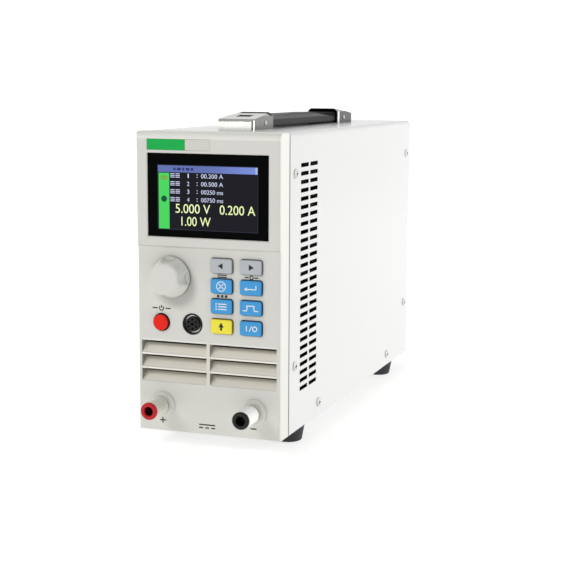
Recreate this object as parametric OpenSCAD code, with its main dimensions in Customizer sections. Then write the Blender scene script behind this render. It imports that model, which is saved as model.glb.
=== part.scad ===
// Bench dc electronic load: an upright sheet-metal case with a moulded front bezel, a display,
// eight keys, a control knob, two binding posts, a strap handle, a rear fan and its inner works.
// Millimetres. +Z is up, the front faces -Y, and the origin is under the middle of the object.

/* [Case] */
// Outer width of the case
case_w = 88; // [88:1:110]
// Height of the case without its feet
case_h = 174.4; // [172:0.2:200]
// Depth from the front face to the rear face
case_d = 282; // [262:1:330]
// Thickness of the sheet metal
sheet_t = 1.2; // [0.8:0.1:1.6]
// Outer radius of the bends along the top of the cover
bend_r = 3; // [2:0.5:5]
// Play between one sheet-metal piece and the next
sheet_gap = 0.2; // [0.1:0.05:0.3]
// Height of the upturned sides of the base tray
tray_side_h = 16; // [14:0.5:20]
// Radius of a rubber foot at its top
foot_r = 10; // [8:0.5:12]
// Height of a rubber foot
foot_h = 9.7; // [7:0.1:14]
// Distance of the foot centres from the sides of the case
foot_inset = 10; // [10:0.5:16]
// Distance of the feet and of the handle ends from the front and the rear
end_inset = 42; // [38:0.5:50]

/* [Side vents] */
// Number of slots in one column
vent_rows = 28; // [10:1:28]
// Distance from one slot to the next
vent_pitch = 4.87; // [4:0.01:5]
// Length of a slot
vent_l = 13.6; // [8:0.1:14]
// Height of a slot
vent_h = 2.2; // [1.5:0.1:2.5]
// Distance of the first column of slots from the front face
vent_y = 40.5; // [38:0.1:50]
// Distance from one column to the next
vent_column = 16.65; // [15:0.05:20]
// Distance of the top slot from the top of the case
vent_drop = 19.3; // [16:0.1:30]

/* [Front bezel] */
// Depth of the bezel along the side of the case
bezel_d = 14.5; // [14:0.5:18]
// Thickness of the front wall
bezel_wall = 3; // [2.6:0.1:3.4]
// Thickness of the side walls
bezel_side = 2.2; // [1.8:0.1:2.6]
// Radius of the top front edge
bezel_top_r = 3.3; // [2:0.1:4]
// Radius of the upright front edges
bezel_edge_r = 1.4; // [0.8:0.1:2]
// How far the display field stands proud of the lower panel
field_proud = 0.9; // [0.6:0.1:1.2]
// Share of the height of the case that the display field takes
field_share = 0.3744; // [0.36:0.0004:0.39]
// Gap between the bezel and the cover
seam = 0.8; // [0.3:0.1:1]

/* [Display] */
// Distance of the window from the sides of the case
window_side = 7.2; // [6:0.1:10]
// Thickness of the window
window_t = 1.5; // [1:0.1:1.8]
// Distance of the window from the top of the case
window_drop = 12.3; // [12:0.1:14]
// Height of the display field below the window
window_sill = 5.6; // [4.5:0.1:7]
// Border of the window beside the lit area
screen_side = 6.3; // [6:0.1:10]
// Border of the window above and below the lit area
screen_edge = 5.45; // [5.4:0.05:9]
// Width of the coloured badge
badge_w = 23.5; // [15:0.5:28]
// Width of the plain plate beside it
plate_w = 15.2; // [10:0.2:20]
// Height of the badge and of the plate
badge_h = 6.1; // [4:0.1:6.4]

/* [Keys] */
// Width of a key
key_w = 13.2; // [10:0.1:14]
// Height of a key
key_h = 8.4; // [6:0.1:9]
// Radius of the corners of a key
key_r = 1.5; // [1:0.1:2.5]
// Distance from one key to the next across
key_pitch_x = 17.85; // [17:0.05:19]
// How far a key stands out
key_proud = 1.8; // [1.5:0.1:3]
// How far a key goes in
key_travel = 1; // [0.5:0.1:1.2]

/* [Knob, power button and sense socket] */
// Radius of the knob at its foot
knob_r = 12; // [10:0.1:13]
// Radius of the front face of the knob
knob_face_r = 9; // [7:0.1:9]
// How far the knob stands out
knob_l = 11.5; // [11:0.1:14]
// Radius of the encoder shaft
shaft_r = 3; // [2.5:0.1:3]
// Radius of the power button
button_r = 4.7; // [4:0.1:5]
// How far the power button goes in
button_travel = 2; // [1.5:0.1:2]
// Radius of the sense socket
socket_r = 6.1; // [6:0.05:6.5]

/* [Air inlet] */
// Number of louvres, one above the other
louvre_rows = 3; // [2:1:3]
// Share of the height of the case that the louvres take
louvre_share = 0.1388; // [0.12:0.0004:0.14]
// Height of the bar between two louvres
louvre_bar = 1; // [0.8:0.1:1.6]
// Depth of a louvre
louvre_depth = 6; // [4.5:0.1:6.5]

/* [Terminals] */
// Distance of a binding post from the side of the case
post_inset = 15.5; // [15:0.1:18]
// Height of a binding post above the underside of the case
post_z = 16.2; // [15.8:0.1:17]
// Radius of the thumb nut
post_r = 5.1; // [4.6:0.1:5.6]
// How far a binding post stands out
post_l = 20.4; // [18:0.1:24]
// Diameter of the plug bore
jack_d = 4; // [3.9:0.05:4.1]
// How far the thumb nut unscrews
post_travel = 3; // [2:0.5:4]
// How far the minus thumb nut already stands unscrewed
minus_open = 2; // [0:0.1:2]

/* [Handle] */
// Length of a handle cap
cap_l = 33.5; // [30:0.5:40]
// Width of a handle cap
cap_w = 22.8; // [22:0.1:26]
// Height of a handle cap at its closed end
cap_end_h = 6.3; // [6:0.1:7]
// Height of a handle cap at its mouth
cap_mouth_h = 9.8; // [9.6:0.1:11]
// Width of the strap
strap_w = 19; // [16:0.1:19.4]
// How far the strap lifts between its pins and its caps
strap_lift = 0.8; // [0.4:0.1:0.8]

/* [Rear] */
// Distance of the fan from the top of the case
fan_drop = 13; // [12:0.5:15]
// Depth of the fan
fan_d = 25; // [20:1:30]
// Number of fan blades
fan_blades = 7; // [5:1:9]
// How far the fuse drawer pulls out
drawer_travel = 14; // [8:1:15]

/* [Inside] */
// Number of fins of the heat sink
fins = 12; // [6:1:14]
// Number of power transistors in a row
transistor_columns = 4; // [2:1:5]
// Height of the board standoffs
standoff_h = 5; // [4:0.5:6]

/* [Hidden] */
$fn = 48;
// Clearances: turning fit, push fit, free running, and two faces that only just clear each other.
turn_gap = 0.05;
push_gap = 0.1;
run_gap = 0.3;
face_gap = 0.1;
// How far a cutter goes past the face that it cuts.
past = 1;

half_w = case_w / 2;
cover_half = half_w - sheet_t;
frame_half = cover_half - sheet_gap;
frame_top = case_h - sheet_t - sheet_gap;
bezel_half = half_w - bezel_side;
cover_y = bezel_d + seam;
rear_l = 6;
front_y = (post_l + minus_open - case_d - rear_l) / 2;
mid_y = case_d / 2;
field_h = field_share * case_h;
crease_z = case_h - field_h;
crease_bevel = 1;

window_w = case_w - 2 * window_side;
window_h = field_h - window_drop - window_sill;
window_z = case_h - window_drop - window_h / 2;
screen_w = window_w - 2 * screen_side;
screen_h = window_h - 2 * screen_edge;
window_sink = 0.3;
window_back = window_sink - field_proud + window_t;
badge_x = 7 - half_w;
badge_z = case_h - 4.3 - badge_h;
badge_t = 0.6;
badge_top = badge_z + badge_h;

louvre_z = 0.168 * case_h;
louvre_top = louvre_z + louvre_share * case_h;
louvre_pitch = (louvre_top - louvre_z + louvre_bar) / louvre_rows;
louvre_h = louvre_pitch - louvre_bar;
louvre_slot = 0.27 * louvre_h;
louvre_slat = 1.6;
louvre_rib = 2.1;
// Height between the louvres and the display field, which the keys, knob, button and socket share.
zone_h = crease_z - louvre_top;
board_z = louvre_top + 3.5;

key_lip = 0.9;
key_lip_t = 1;
key_stem_r = 1.4;
key_margin = 0.395 * half_w;
key_drop = 0.1745 * zone_h;
key_pitch_z = 0.2086 * zone_h;
// Front face of the circuit board that carries the switches.
board_y = bezel_wall + 6.5;
board_t = 1.6;
board_half = half_w - 3;
switch_h = board_y - bezel_wall - key_lip_t - face_gap - key_travel - 0.8;
function key_x(column) = half_w - key_margin - (1 - column) * key_pitch_x;
function key_z(row) = crease_z - key_drop - row * key_pitch_z;
KEYS = [
    ["key_left", 0, 0, "silver"],
    ["key_right", 1, 0, "silver"],
    ["key_escape", 0, 1, "deepskyblue"],
    ["key_enter", 1, 1, "deepskyblue"],
    ["key_mode", 0, 2, "deepskyblue"],
    ["key_pulse", 1, 2, "deepskyblue"],
    ["key_shift", 0, 3, "gold"],
    ["key_output", 1, 3, "deepskyblue"]
];

knob_x = -0.516 * half_w;
knob_z = crease_z - 0.3165 * zone_h;
bushing_r = shaft_r + 0.8;
bushing_l = 2.6;
button_x = -0.661 * half_w;
button_z = crease_z - 0.7986 * zone_h;
button_proud = 2;
button_stem_r = 1.8;
button_back = bezel_wall - 1.8;
socket_x = -0.22 * half_w;

board_top = window_z + window_h / 2;

post_x = half_w - post_inset;
stud_r = jack_d / 2 + 1;
stud_tip = post_l - 5;
stud_back = bezel_d + sheet_t + 9.5;
jack_l = 15;
base_r = post_r + 2.3;
base_l = 2;
seat_l = 1;
washer_t = 1;
nut_start = base_l + seat_l + washer_t + face_gap;
ring_l = 1.6;
function nut_out(side) = side > 0 ? minus_open : 0;
spigot_r = stud_r + 1.2;
tab_y = bezel_d + sheet_t + 2;
bar_t = 1.5;
bar_w = 10;

main_z = sheet_t + standoff_h;
main_top = main_z + board_t;
main_half = half_w - 8;
main_y = bezel_d + 25.5;
main_end = case_d - 40;

front_flange = 18;
rear_flange = 18;
screw_r = 1.45;
screw_hole_r = screw_r + 0.1;
screw_head_r = 2.8;
screw_head_h = 1.2;
// A side screw goes through the cover and one flange and ends short of the pieces inside.
screw_reach = 0.9;
side_reach = 2 * sheet_t + sheet_gap + screw_reach;
inner_clear = 0.5;
inner_half = half_w - side_reach - inner_clear;
frame_screw_y = bezel_d + 9.5;
rear_screw_y = case_d - 10.5;
upper_screw_z = case_h - 23.6;
lower_screw_z = 39.2;
tray_screw_z = tray_side_h / 2;
tray_screw_ys = [mid_y - 72.5, mid_y + 84.5];
SIDE_SCREWS = [
    [frame_screw_y, upper_screw_z],
    [frame_screw_y, lower_screw_z],
    [rear_screw_y, upper_screw_z],
    [rear_screw_y, lower_screw_z],
    [tray_screw_ys[0], tray_screw_z],
    [tray_screw_ys[1], tray_screw_z]
];
foot_x = half_w - foot_inset;
FOOT_PLACES = [for (x = [-1, 1]) for (y = [end_inset, case_d - end_inset]) [x * foot_x, y]];
foot_recess = 4;

cap_wall = 1;
cap_shoulder = cap_mouth_h - 2;
cap_chamfer = 3;
cap_lead = 2;
cap_pin_u = 20;
cap_pin_z = 3.6;
cap_boss_u = 6.2;
cap_boss_x = 6;
pin_r = 1;
strap_z = 0.8;
strap_end_u = 11;
cap_slope = (cap_mouth_h - cap_end_h) / (cap_l - cap_lead);
function cap_top(u) = cap_end_h + cap_slope * (u - cap_lead);
function strap_top(u) = cap_top(u) - cap_wall - strap_lift - 0.6;

fan_size = 2 * inner_half;
fan_z = case_h - fan_drop - fan_size / 2;
fan_back = case_d - sheet_t;
fan_front = fan_back - fan_d;
fan_bore = fan_size / 2 - 1.8;
fan_hole = fan_size / 2 - 4.25;
fan_hub_r = 17;
fan_hub_end = fan_back - 5;
stator_r = 15;
stator_l = 4;
axle_r = 1.5;
wire_r = 0.8;
guard_t = 2 * wire_r + 0.2;

flange_w = 50;
flange_h = 33;
flange_t = 3;
inlet_w = 28;
inlet_h = 30;
inlet_l = 22;
socket_w = 24.5;
socket_h = 16.5;
socket_up = 5;
socket_deep = 16;
blade_l = 11;
drawer_w = 21;
drawer_h = 6.6;
drawer_down = 9.6;
drawer_l = 16;
drawer_lip = 1.2;
serial_plate_w = 31;
serial_plate_h = 12.6;
// The inlet and the serial port share the height below the fan, with three equal gaps.
rear_room = fan_z - fan_size / 2;
rear_gap = (rear_room - flange_h - serial_plate_h) / 3;
inlet_z = rear_gap + flange_h / 2;
serial_z = rear_room - rear_gap - serial_plate_h / 2;
serial_shell_w = 17;
serial_shell_h = 8.8;
serial_l = 6;

sink_z = fan_z - fan_size / 2;
sink_y = 0.397 * case_d;
sink_end = fan_front - 4;
sink_base = 8;
sink_x = 13 - half_w;
sink_half = half_w - 5;
fin_t = 2;
fin_pitch = (fan_size - fin_t) / (fins - 1);
leg_half = inner_half;
// The stand's flanges end beside the screws of the feet.
leg_flange = 4;
power_gap = 6;
power_x = sink_x - power_gap - board_t;
transistor_w = 16;
transistor_h = 21;
transistor_t = 5;

core_w = 48;
core_h = 40;
core_d = 26;
core_leg = 16;
core_window_w = 8;
core_window_h = 24;
core_y = 0.305 * case_d;
coil_gap = 0.3;
coil_over = 8;
wire_core_r = 1.2;
ribbon_w = 20;
ribbon_t = 1.2;
ribbon_z = board_z + 18;
ribbon_y = main_y + 4;

// Every piece is drawn with x across, y back from the front face and z up from the underside of
// the case, and this moves it into the frame of the whole object.
module in_place() {
    translate([0, front_y, foot_h]) children();
}

// A flat outline of y and z, drawn out across the object.
module along_x(width) {
    translate([-width / 2, 0, 0]) rotate([90, 0, 90]) linear_extrude(width) children();
}

// A flat outline of x and z, drawn out from one depth to another.
module along_y(from, to) {
    translate([0, to, 0]) rotate([90, 0, 0]) linear_extrude(to - from) children();
}

// A round bar along y.
module rod_y(x, z, r, from, to) {
    translate([x, from, z]) rotate([-90, 0, 0]) cylinder(r = r, h = to - from);
}

// A round bar along x.
module rod_x(y, z, r, from, to) {
    translate([from, y, z]) rotate([0, 90, 0]) cylinder(r = r, h = to - from);
}

// A box given by its two corners.
module block(low, high) {
    translate(low) cube(high - low);
}

// A turned piece on an axis that points out of the front: the outline holds radius and distance.
module turned(x, z) {
    translate([x, 0, z]) rotate([90, 0, 0]) rotate_extrude() children();
}

module rounded_rect(w, h, r) {
    square([w - 2 * r, h], center = true);
    square([w, h - 2 * r], center = true);
    for (x = [-1, 1]) for (z = [-1, 1]) translate([x * (w / 2 - r), z * (h / 2 - r)]) circle(r);
}

module rounded_slot(l, h) {
    square([l - h, h], center = true);
    for (x = [-1, 1]) translate([x * (l - h) / 2, 0]) circle(h / 2);
}

// Side outline of a block with its two front edges rounded.
module side_outline(from, to, bottom, top, low_r, top_r) {
    middle = (bottom + top) / 2;
    translate([from, bottom + low_r]) square([to - from, top - bottom - low_r - top_r]);
    translate([from + low_r, bottom]) square([to - from - low_r, middle - bottom]);
    translate([from + top_r, middle]) square([to - from - top_r, top - middle]);
    translate([from + low_r, bottom + low_r]) circle(low_r);
    translate([from + top_r, top - top_r]) circle(top_r);
}

// Plan outline of a block with its two upright front edges rounded.
module plan_outline(w, from, to, r) {
    translate([-w / 2, from + r]) square([w, to - from - r]);
    translate([r - w / 2, from]) square([w - 2 * r, to - from]);
    for (x = [-1, 1]) translate([x * (w / 2 - r), from + r]) circle(r);
}

module front_rounded(w, from, to, bottom, top, side_r, low_r, top_r) {
    intersection() {
        along_x(w) side_outline(from, to, bottom, top, low_r, top_r);
        translate([0, 0, bottom]) linear_extrude(top - bottom) plan_outline(w, from, to, side_r);
    }
}

// Screw with a low head above z = 0 and its shank below.
module screw(length, shank_r = screw_r, head_r = screw_head_r, head_h = screw_head_h) {
    difference() {
        union() {
            rotate_extrude() polygon([
                [0, 0],
                [head_r, 0],
                [head_r, head_h * 0.4],
                [head_r * 0.6, head_h],
                [0, head_h]
            ]);
            translate([0, 0, -length]) cylinder(r = shank_r, h = length);
        }
        for (turn = [0, 90]) rotate(turn)
            translate([-head_r * 0.55, -0.3, head_h * 0.35]) cube([head_r * 1.1, 0.6, head_h]);
    }
}

module hex_nut(x, z, from, to, bore) {
    difference() {
        translate([x, from, z]) rotate([-90, 0, 0]) cylinder(r = stud_r * 1.8, h = to - from, $fn = 6);
        rod_y(x, z, bore, from - past, to + past);
    }
}

// Frustum of four flat sides, wider at the front, for the bevel round the window.
module window_bevel(w, h, z, from, to, wider) {
    intersection() {
        translate([0, 0, z - h]) linear_extrude(2 * h) polygon([
            [-w / 2 - wider, from],
            [w / 2 + wider, from],
            [w / 2, to],
            [-w / 2, to]
        ]);
        along_x(w + 4 * wider) polygon([
            [from, z - h / 2 - wider],
            [from, z + h / 2 + wider],
            [to, z + h / 2],
            [to, z - h / 2]
        ]);
    }
}

function frame_bosses() = [
    for (x = [-1, 1]) [x * (half_w - 6), 7],
    for (x = [-1, 1]) [x * (half_w - 8), case_h - 7.4]
];
function board_bosses() = [
    for (x = [-1, 1]) for (z = [board_z + 3.4, crease_z + 2]) [x * (half_w - 5.6), z]
];

module bezel_shell() {
    difference() {
        union() {
            front_rounded(case_w, 0, bezel_d, 0, crease_z + 5, bezel_edge_r, 1, 0.1);
            front_rounded(case_w, -field_proud, bezel_d, crease_z, case_h, bezel_edge_r, 0.1, bezel_top_r);
            along_x(case_w - 2 * bezel_edge_r) polygon([
                [-field_proud, crease_z + 0.5],
                [-field_proud, crease_z],
                [0, crease_z - crease_bevel],
                [1, crease_z + 0.5]
            ]);
        }
        block(
            [-bezel_half, bezel_wall, bezel_side],
            [bezel_half, bezel_d + past, case_h - bezel_side]
        );
        block(
            [-bezel_half, -past, louvre_z],
            [bezel_half, bezel_wall + past, louvre_top]
        );
    }
}

module louvre_slat(z) {
    along_x(2 * bezel_half + 0.4) polygon([
        [0, z],
        [louvre_depth, z + louvre_h - louvre_slot],
        [louvre_depth, z + louvre_h - louvre_slot - louvre_slat],
        [bezel_wall / 2, z - louvre_bar],
        [0, z - louvre_bar]
    ]);
}

module front_bezel() {
    color("gainsboro") in_place() difference() {
        union() {
            bezel_shell();
            for (row = [0 : louvre_rows - 1]) louvre_slat(louvre_z + row * louvre_pitch);
            block(
                [-louvre_rib / 2, 0, louvre_z - 0.5],
                [louvre_rib / 2, louvre_depth, louvre_top + 0.5]
            );
            for (p = frame_bosses()) rod_y(p[0], p[1], 2.8, bezel_wall - 0.5, bezel_d);
            for (p = board_bosses()) rod_y(p[0], p[1], 2.4, bezel_wall - 0.5, board_y);
        }
        window_bevel(
            window_w + 2 * push_gap,
            window_h + 2 * push_gap,
            window_z,
            -field_proud - 0.2,
            window_sink - field_proud + 0.2,
            0.9
        );
        block(
            [-window_w / 2 - push_gap, -past - field_proud, window_z - window_h / 2 - push_gap],
            [window_w / 2 + push_gap, window_back, window_z + window_h / 2 + push_gap]
        );
        block(
            [-screen_w / 2 - 0.5, 0, window_z - 1.2 - screen_h / 2 - 0.5],
            [screen_w / 2 + 0.5, bezel_wall + past, window_z - 1.2 + screen_h / 2 + 0.5]
        );
        block(
            [badge_x - push_gap, -past - field_proud, badge_z - push_gap],
            [badge_x + badge_w + plate_w + 2 * push_gap, badge_t - field_proud, badge_top + push_gap]
        );
        along_y(-past, bezel_wall + past) for (key = KEYS)
            translate([key_x(key[1]), key_z(key[2])])
                rounded_rect(key_w + 2 * run_gap, key_h + 2 * run_gap, key_r + run_gap);
        rod_y(knob_x, knob_z, bushing_r + run_gap, -past, bezel_wall + past);
        rod_y(button_x, button_z, button_r + 2 * run_gap, -past, bezel_wall + past);
        rod_y(socket_x, button_z, socket_r + push_gap, -past, bezel_wall + past);
        for (x = [-1, 1]) rod_y(x * post_x, post_z, spigot_r + push_gap, -past, bezel_wall + past);
        for (p = frame_bosses()) rod_y(p[0], p[1], 1.3, bezel_d - 8, bezel_d + past);
        for (p = board_bosses()) rod_y(p[0], p[1], 1.3, board_y - 5, board_y + past);
    }
}

module display_window() {
    color("black") in_place() block(
        [-window_w / 2, window_sink - field_proud, window_z - window_h / 2],
        [window_w / 2, window_back, window_z + window_h / 2]
    );
}

module lcd_module() {
    screen_z = window_z - 1.2;
    color("dimgray") in_place() {
        block(
            [-screen_w / 2, window_back + face_gap, screen_z - screen_h / 2],
            [screen_w / 2, bezel_wall + past, screen_z + screen_h / 2]
        );
        block(
            [-screen_w / 2 - 4, bezel_wall, screen_z - screen_h / 2 - 4],
            [screen_w / 2 + 4, bezel_wall + 3.4, screen_z + screen_h / 2 + 4]
        );
    }
}

module green_badge() {
    color("mediumseagreen") in_place() block(
        [badge_x, -field_proud, badge_z],
        [badge_x + badge_w, badge_t - field_proud, badge_z + badge_h]
    );
}

module label_plate() {
    color("lightgray") in_place() block(
        [badge_x + badge_w + push_gap, -field_proud, badge_z],
        [badge_x + badge_w + push_gap + plate_w, badge_t - field_proud, badge_z + badge_h]
    );
}

// A key cap: its rounded face in the panel, a lip that keeps it in and a stem into its switch.
module key_cap(column, row) {
    x = key_x(column);
    z = key_z(row);
    lip_y = bezel_wall + face_gap;
    in_place() translate([x, 0, z]) {
        intersection() {
            front_rounded(key_w, -key_proud, lip_y + 0.5, -key_h / 2, key_h / 2, 0.7, 0.7, 0.7);
            along_y(-key_proud, lip_y + 0.5) rounded_rect(key_w, key_h, key_r);
        }
        along_y(lip_y, lip_y + key_lip_t) rounded_rect(key_w + 2 * key_lip, key_h + 2 * key_lip, key_r);
        rod_y(0, 0, key_stem_r, lip_y + 0.5, board_y - switch_h + 1.1);
    }
}

module front_board() {
    color("darkgreen") in_place() difference() {
        block([-board_half, board_y, board_z], [board_half, board_y + board_t, board_top]);
        for (p = board_bosses()) rod_y(p[0], p[1], 1.6, board_y - past, board_y + board_t + past);
    }
}

// Housings of the eight key switches and of the power switch, each with a bore for its stem.
module panel_switches() {
    color("darkslategray") in_place() {
        for (key = KEYS) difference() {
            block(
                [key_x(key[1]) - 3, board_y - switch_h, key_z(key[2]) - 3],
                [key_x(key[1]) + 3, board_y, key_z(key[2]) + 3]
            );
            rod_y(key_x(key[1]), key_z(key[2]), key_stem_r + run_gap, bezel_wall, board_y - 0.6);
        }
        difference() {
            block(
                [button_x - 4.3, bezel_wall + 0.4, button_z - 4.3],
                [button_x + 4.3, board_y, button_z + 4.3]
            );
            rod_y(button_x, button_z, button_stem_r + run_gap, bezel_wall - past, board_y - 0.6);
        }
    }
}

module front_screws() {
    color("silver") in_place() {
        for (p = frame_bosses()) translate([p[0], bezel_d + sheet_t, p[1]]) rotate([-90, 0, 0])
            screw(7, 1.2, 2.6, 1.6);
        for (p = board_bosses()) translate([p[0], board_y + board_t, p[1]]) rotate([-90, 0, 0])
            screw(5.5, 1.2, 2.6, 1.6);
    }
}

module encoder_body() {
    color("slategray") in_place() difference() {
        union() {
            block([knob_x - 6, bezel_wall + face_gap, knob_z - 6], [knob_x + 6, board_y, knob_z + 6]);
            rod_y(knob_x, knob_z, bushing_r, -bushing_l, bezel_wall + 1);
        }
        rod_y(knob_x, knob_z, shaft_r + turn_gap, -bushing_l - past, board_y - 1);
    }
}

module encoder_shaft() {
    color("silver") in_place() rod_y(knob_x, knob_z, shaft_r, 2.5 - knob_l, board_y - 1.3);
}

module control_knob() {
    foot = 0.4;
    color("gainsboro") in_place() difference() {
        turned(knob_x, knob_z) {
            polygon([
                [0, foot],
                [knob_r - 0.2, foot],
                [knob_r, foot + 0.2],
                [knob_r, foot + 1],
                [knob_r - 0.4, foot + 1.3],
                [knob_face_r + 0.5, knob_l - 0.9],
                [knob_face_r - 0.3, knob_l - 0.05],
                [knob_face_r - 0.8, knob_l],
                [0, knob_l]
            ]);
            translate([knob_face_r - 0.5, knob_l - 1]) circle(1);
        }
        for (turn = [0 : 90 : 270]) translate([knob_x, 0, knob_z]) rotate([0, turn, 0])
            rod_y(knob_face_r + 4.6, 0, 4.6, -knob_l - past, -foot - 1.5);
        rod_y(knob_x, knob_z, shaft_r + turn_gap, 2.2 - knob_l, past);
        rod_y(knob_x, knob_z, bushing_r + 0.7, -bushing_l - 0.8, past);
    }
}

module power_button() {
    color("red") in_place() {
        turned(button_x, button_z) {
            polygon([
                [0, -button_back],
                [button_r, -button_back],
                [button_r, button_proud - 0.6],
                [button_r - 0.6, button_proud],
                [0, button_proud]
            ]);
            translate([button_r - 0.6, button_proud - 0.6]) circle(0.6);
        }
        rod_y(button_x, button_z, button_stem_r, button_back - 0.5, board_y - 0.9 - button_travel);
    }
}

// Round sense socket: a body with a ring groove, six pin holes and a key slot.
module sense_socket() {
    front = -0.3;
    color("black") in_place() difference() {
        union() {
            rod_y(socket_x, button_z, socket_r, front, bezel_wall + 1);
            block([socket_x - 7, bezel_wall, button_z - 6.5], [socket_x + 7, board_y, button_z + 6.5]);
        }
        difference() {
            rod_y(socket_x, button_z, 5.3, front - past, 4);
            rod_y(socket_x, button_z, 4.3, front - 2 * past, 5);
        }
        for (turn = [30 : 60 : 330]) translate([socket_x, 0, button_z]) rotate([0, turn, 0])
            rod_y(2.7, 0, 0.55, front - past, 4);
        block(
            [socket_x - 0.8, front - past, button_z - 0.6],
            [socket_x + 0.8, 4, button_z + 0.6]
        );
    }
}

module sense_shell() {
    color("silver") in_place() difference() {
        rod_y(socket_x, button_z, 5.1, 1.3, 4);
        rod_y(socket_x, button_z, 4.5, -past, 5);
    }
}

// Fixed insulating foot of each binding post: a flange on the panel, a seat and a spigot through it.
module terminal_bases() {
    color("lightgray") in_place() for (x = [-1, 1]) turned(x * post_x, post_z) {
        polygon([
            [stud_r + turn_gap, -bezel_wall],
            [spigot_r, -bezel_wall],
            [spigot_r, 0],
            [base_r, 0],
            [base_r, base_l - 0.6],
            [base_r - 0.6, base_l],
            [post_r + 0.4, base_l],
            [post_r + 0.4, base_l + seat_l],
            [stud_r + turn_gap, base_l + seat_l]
        ]);
    }
}

// Threaded metal post with the plug bore in its front end.
module stud(side) {
    color("silver") in_place() difference() {
        rod_y(side * post_x, post_z, stud_r, -stud_tip, stud_back);
        rod_y(side * post_x, post_z, jack_d / 2, -stud_tip - past, jack_l - stud_tip);
    }
}

module washer(side) {
    color("silver") in_place() translate([0, -nut_out(side), 0]) difference() {
        rod_y(side * post_x, post_z, post_r - 0.3, -base_l - seat_l - washer_t, -base_l - seat_l);
        rod_y(side * post_x, post_z, stud_r + turn_gap, -base_l - seat_l - washer_t - past, past);
    }
}

module thumb_nut(side) {
    in_place() translate([0, -nut_out(side), 0]) turned(side * post_x, post_z) polygon([
        [stud_r + turn_gap, nut_start],
        [post_r - 0.4, nut_start],
        [post_r, nut_start + 0.4],
        [post_r, post_l - ring_l],
        [stud_r + turn_gap, post_l - ring_l]
    ]);
}

module end_ring(side) {
    in_place() translate([0, -nut_out(side), 0]) turned(side * post_x, post_z) polygon([
        [jack_d / 2 + 0.7, post_l - ring_l],
        [post_r - 0.1, post_l - ring_l],
        [post_r - 0.1, post_l - 0.5],
        [post_r - 0.6, post_l],
        [jack_d / 2 + 1, post_l],
        [jack_d / 2 + 0.7, post_l - 0.3]
    ]);
}

module terminal_nuts() {
    color("silver") in_place() for (x = [-1, 1]) {
        hex_nut(x * post_x, post_z, bezel_wall, tab_y, stud_r + turn_gap);
        hex_nut(x * post_x, post_z, tab_y + bar_t, tab_y + bar_t + 3.5, stud_r + turn_gap);
    }
}

// Copper bars from the posts back onto the main board.
module busbars() {
    color("orange") in_place() for (x = [-1, 1]) difference() {
        translate([x * post_x, 0, 0]) along_x(bar_w) polygon([
            [tab_y, main_top],
            [main_y + 18, main_top],
            [main_y + 18, main_top + bar_t],
            [tab_y + bar_t, main_top + bar_t],
            [tab_y + bar_t, post_z + stud_r + 3],
            [tab_y, post_z + stud_r + 3]
        ]);
        rod_y(x * post_x, post_z, stud_r + push_gap, tab_y - past, tab_y + bar_t + past);
    }
}

// Outline of x and z with its two top corners rounded.
module cover_outline(half, bottom, top, r) {
    translate([-half, bottom]) square([2 * half, top - r - bottom]);
    translate([r - half, bottom]) square([2 * (half - r), top - bottom]);
    for (x = [-1, 1]) translate([x * (half - r), top - r]) circle(r);
}

// Outline of the front frame and of the rear panel, which fit inside the cover.
module plate_outline() {
    cover_outline(frame_half, sheet_t, frame_top, bend_r - sheet_t - sheet_gap);
}

// Side flanges of the front frame and of the rear panel.
module side_flanges(from, to) {
    for (x = [-1, 1]) translate([x * (frame_half - sheet_t / 2), 0, 0])
        along_x(sheet_t) translate([from, tray_side_h + 1])
            square([to - from, frame_top - tray_side_h - 10]);
}

module side_screw_holes() {
    for (p = SIDE_SCREWS) rod_x(p[0], p[1], screw_hole_r, -half_w - past, half_w + past);
}

module front_frame() {
    back = bezel_d + sheet_t;
    color("silver") in_place() difference() {
        union() {
            along_y(bezel_d, back) plate_outline();
            side_flanges(bezel_d, bezel_d + front_flange);
            block([12 - half_w, bezel_d, sheet_t], [half_w - 12, bezel_d + 10, 2 * sheet_t]);
        }
        block([-half_w + 8, bezel_d - past, louvre_z - 3], [half_w - 8, back + past, louvre_top + 1]);
        block([-half_w + 10, bezel_d - past, board_z + 3], [half_w - 10, back + past, board_top - 4]);
        for (x = [-1, 1]) rod_y(x * post_x, post_z, stud_r * 1.8 + 1.4, bezel_d - past, back + past);
        for (p = frame_bosses()) rod_y(p[0], p[1], 1.5, bezel_d - past, back + past);
        side_screw_holes();
    }
}

module base_tray() {
    front = bezel_d + face_gap;
    color("silver") in_place() difference() {
        union() {
            block([-frame_half, front, 0], [frame_half, case_d, sheet_t]);
            for (x = [-1, 1]) translate([x * (frame_half - sheet_t / 2), 0, 0])
                along_x(sheet_t) translate([front + sheet_t, 0])
                    square([case_d - front - 2 * sheet_t - 0.2, tray_side_h]);
        }
        for (p = FOOT_PLACES) translate([p[0], p[1], -past])
            cylinder(r = screw_hole_r, h = sheet_t + 2 * past);
        side_screw_holes();
    }
}

module rear_panel() {
    front = case_d - sheet_t;
    color("silver") in_place() difference() {
        union() {
            along_y(front, case_d) plate_outline();
            side_flanges(case_d - rear_flange, case_d);
        }
        rod_y(0, fan_z, fan_bore, front - past, case_d + past);
        for (x = [-1, 1]) for (z = [-1, 1])
            rod_y(x * fan_hole, fan_z + z * fan_hole, 2.2, front - past, case_d + past);
        block(
            [-inlet_w / 2 - push_gap, front - past, inlet_z - inlet_h / 2 - push_gap],
            [inlet_w / 2 + push_gap, case_d + past, inlet_z + inlet_h / 2 + push_gap]
        );
        for (x = [-20, 20]) rod_y(x, inlet_z, 2.2, front - past, case_d + past);
        along_y(front - past, case_d + past) translate([0, serial_z])
            rounded_rect(serial_shell_w + 2, serial_shell_h + 2, 2);
        for (x = [-12.5, 12.5]) rod_y(x, serial_z, 1.6, front - past, case_d + past);
        side_screw_holes();
    }
}

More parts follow.
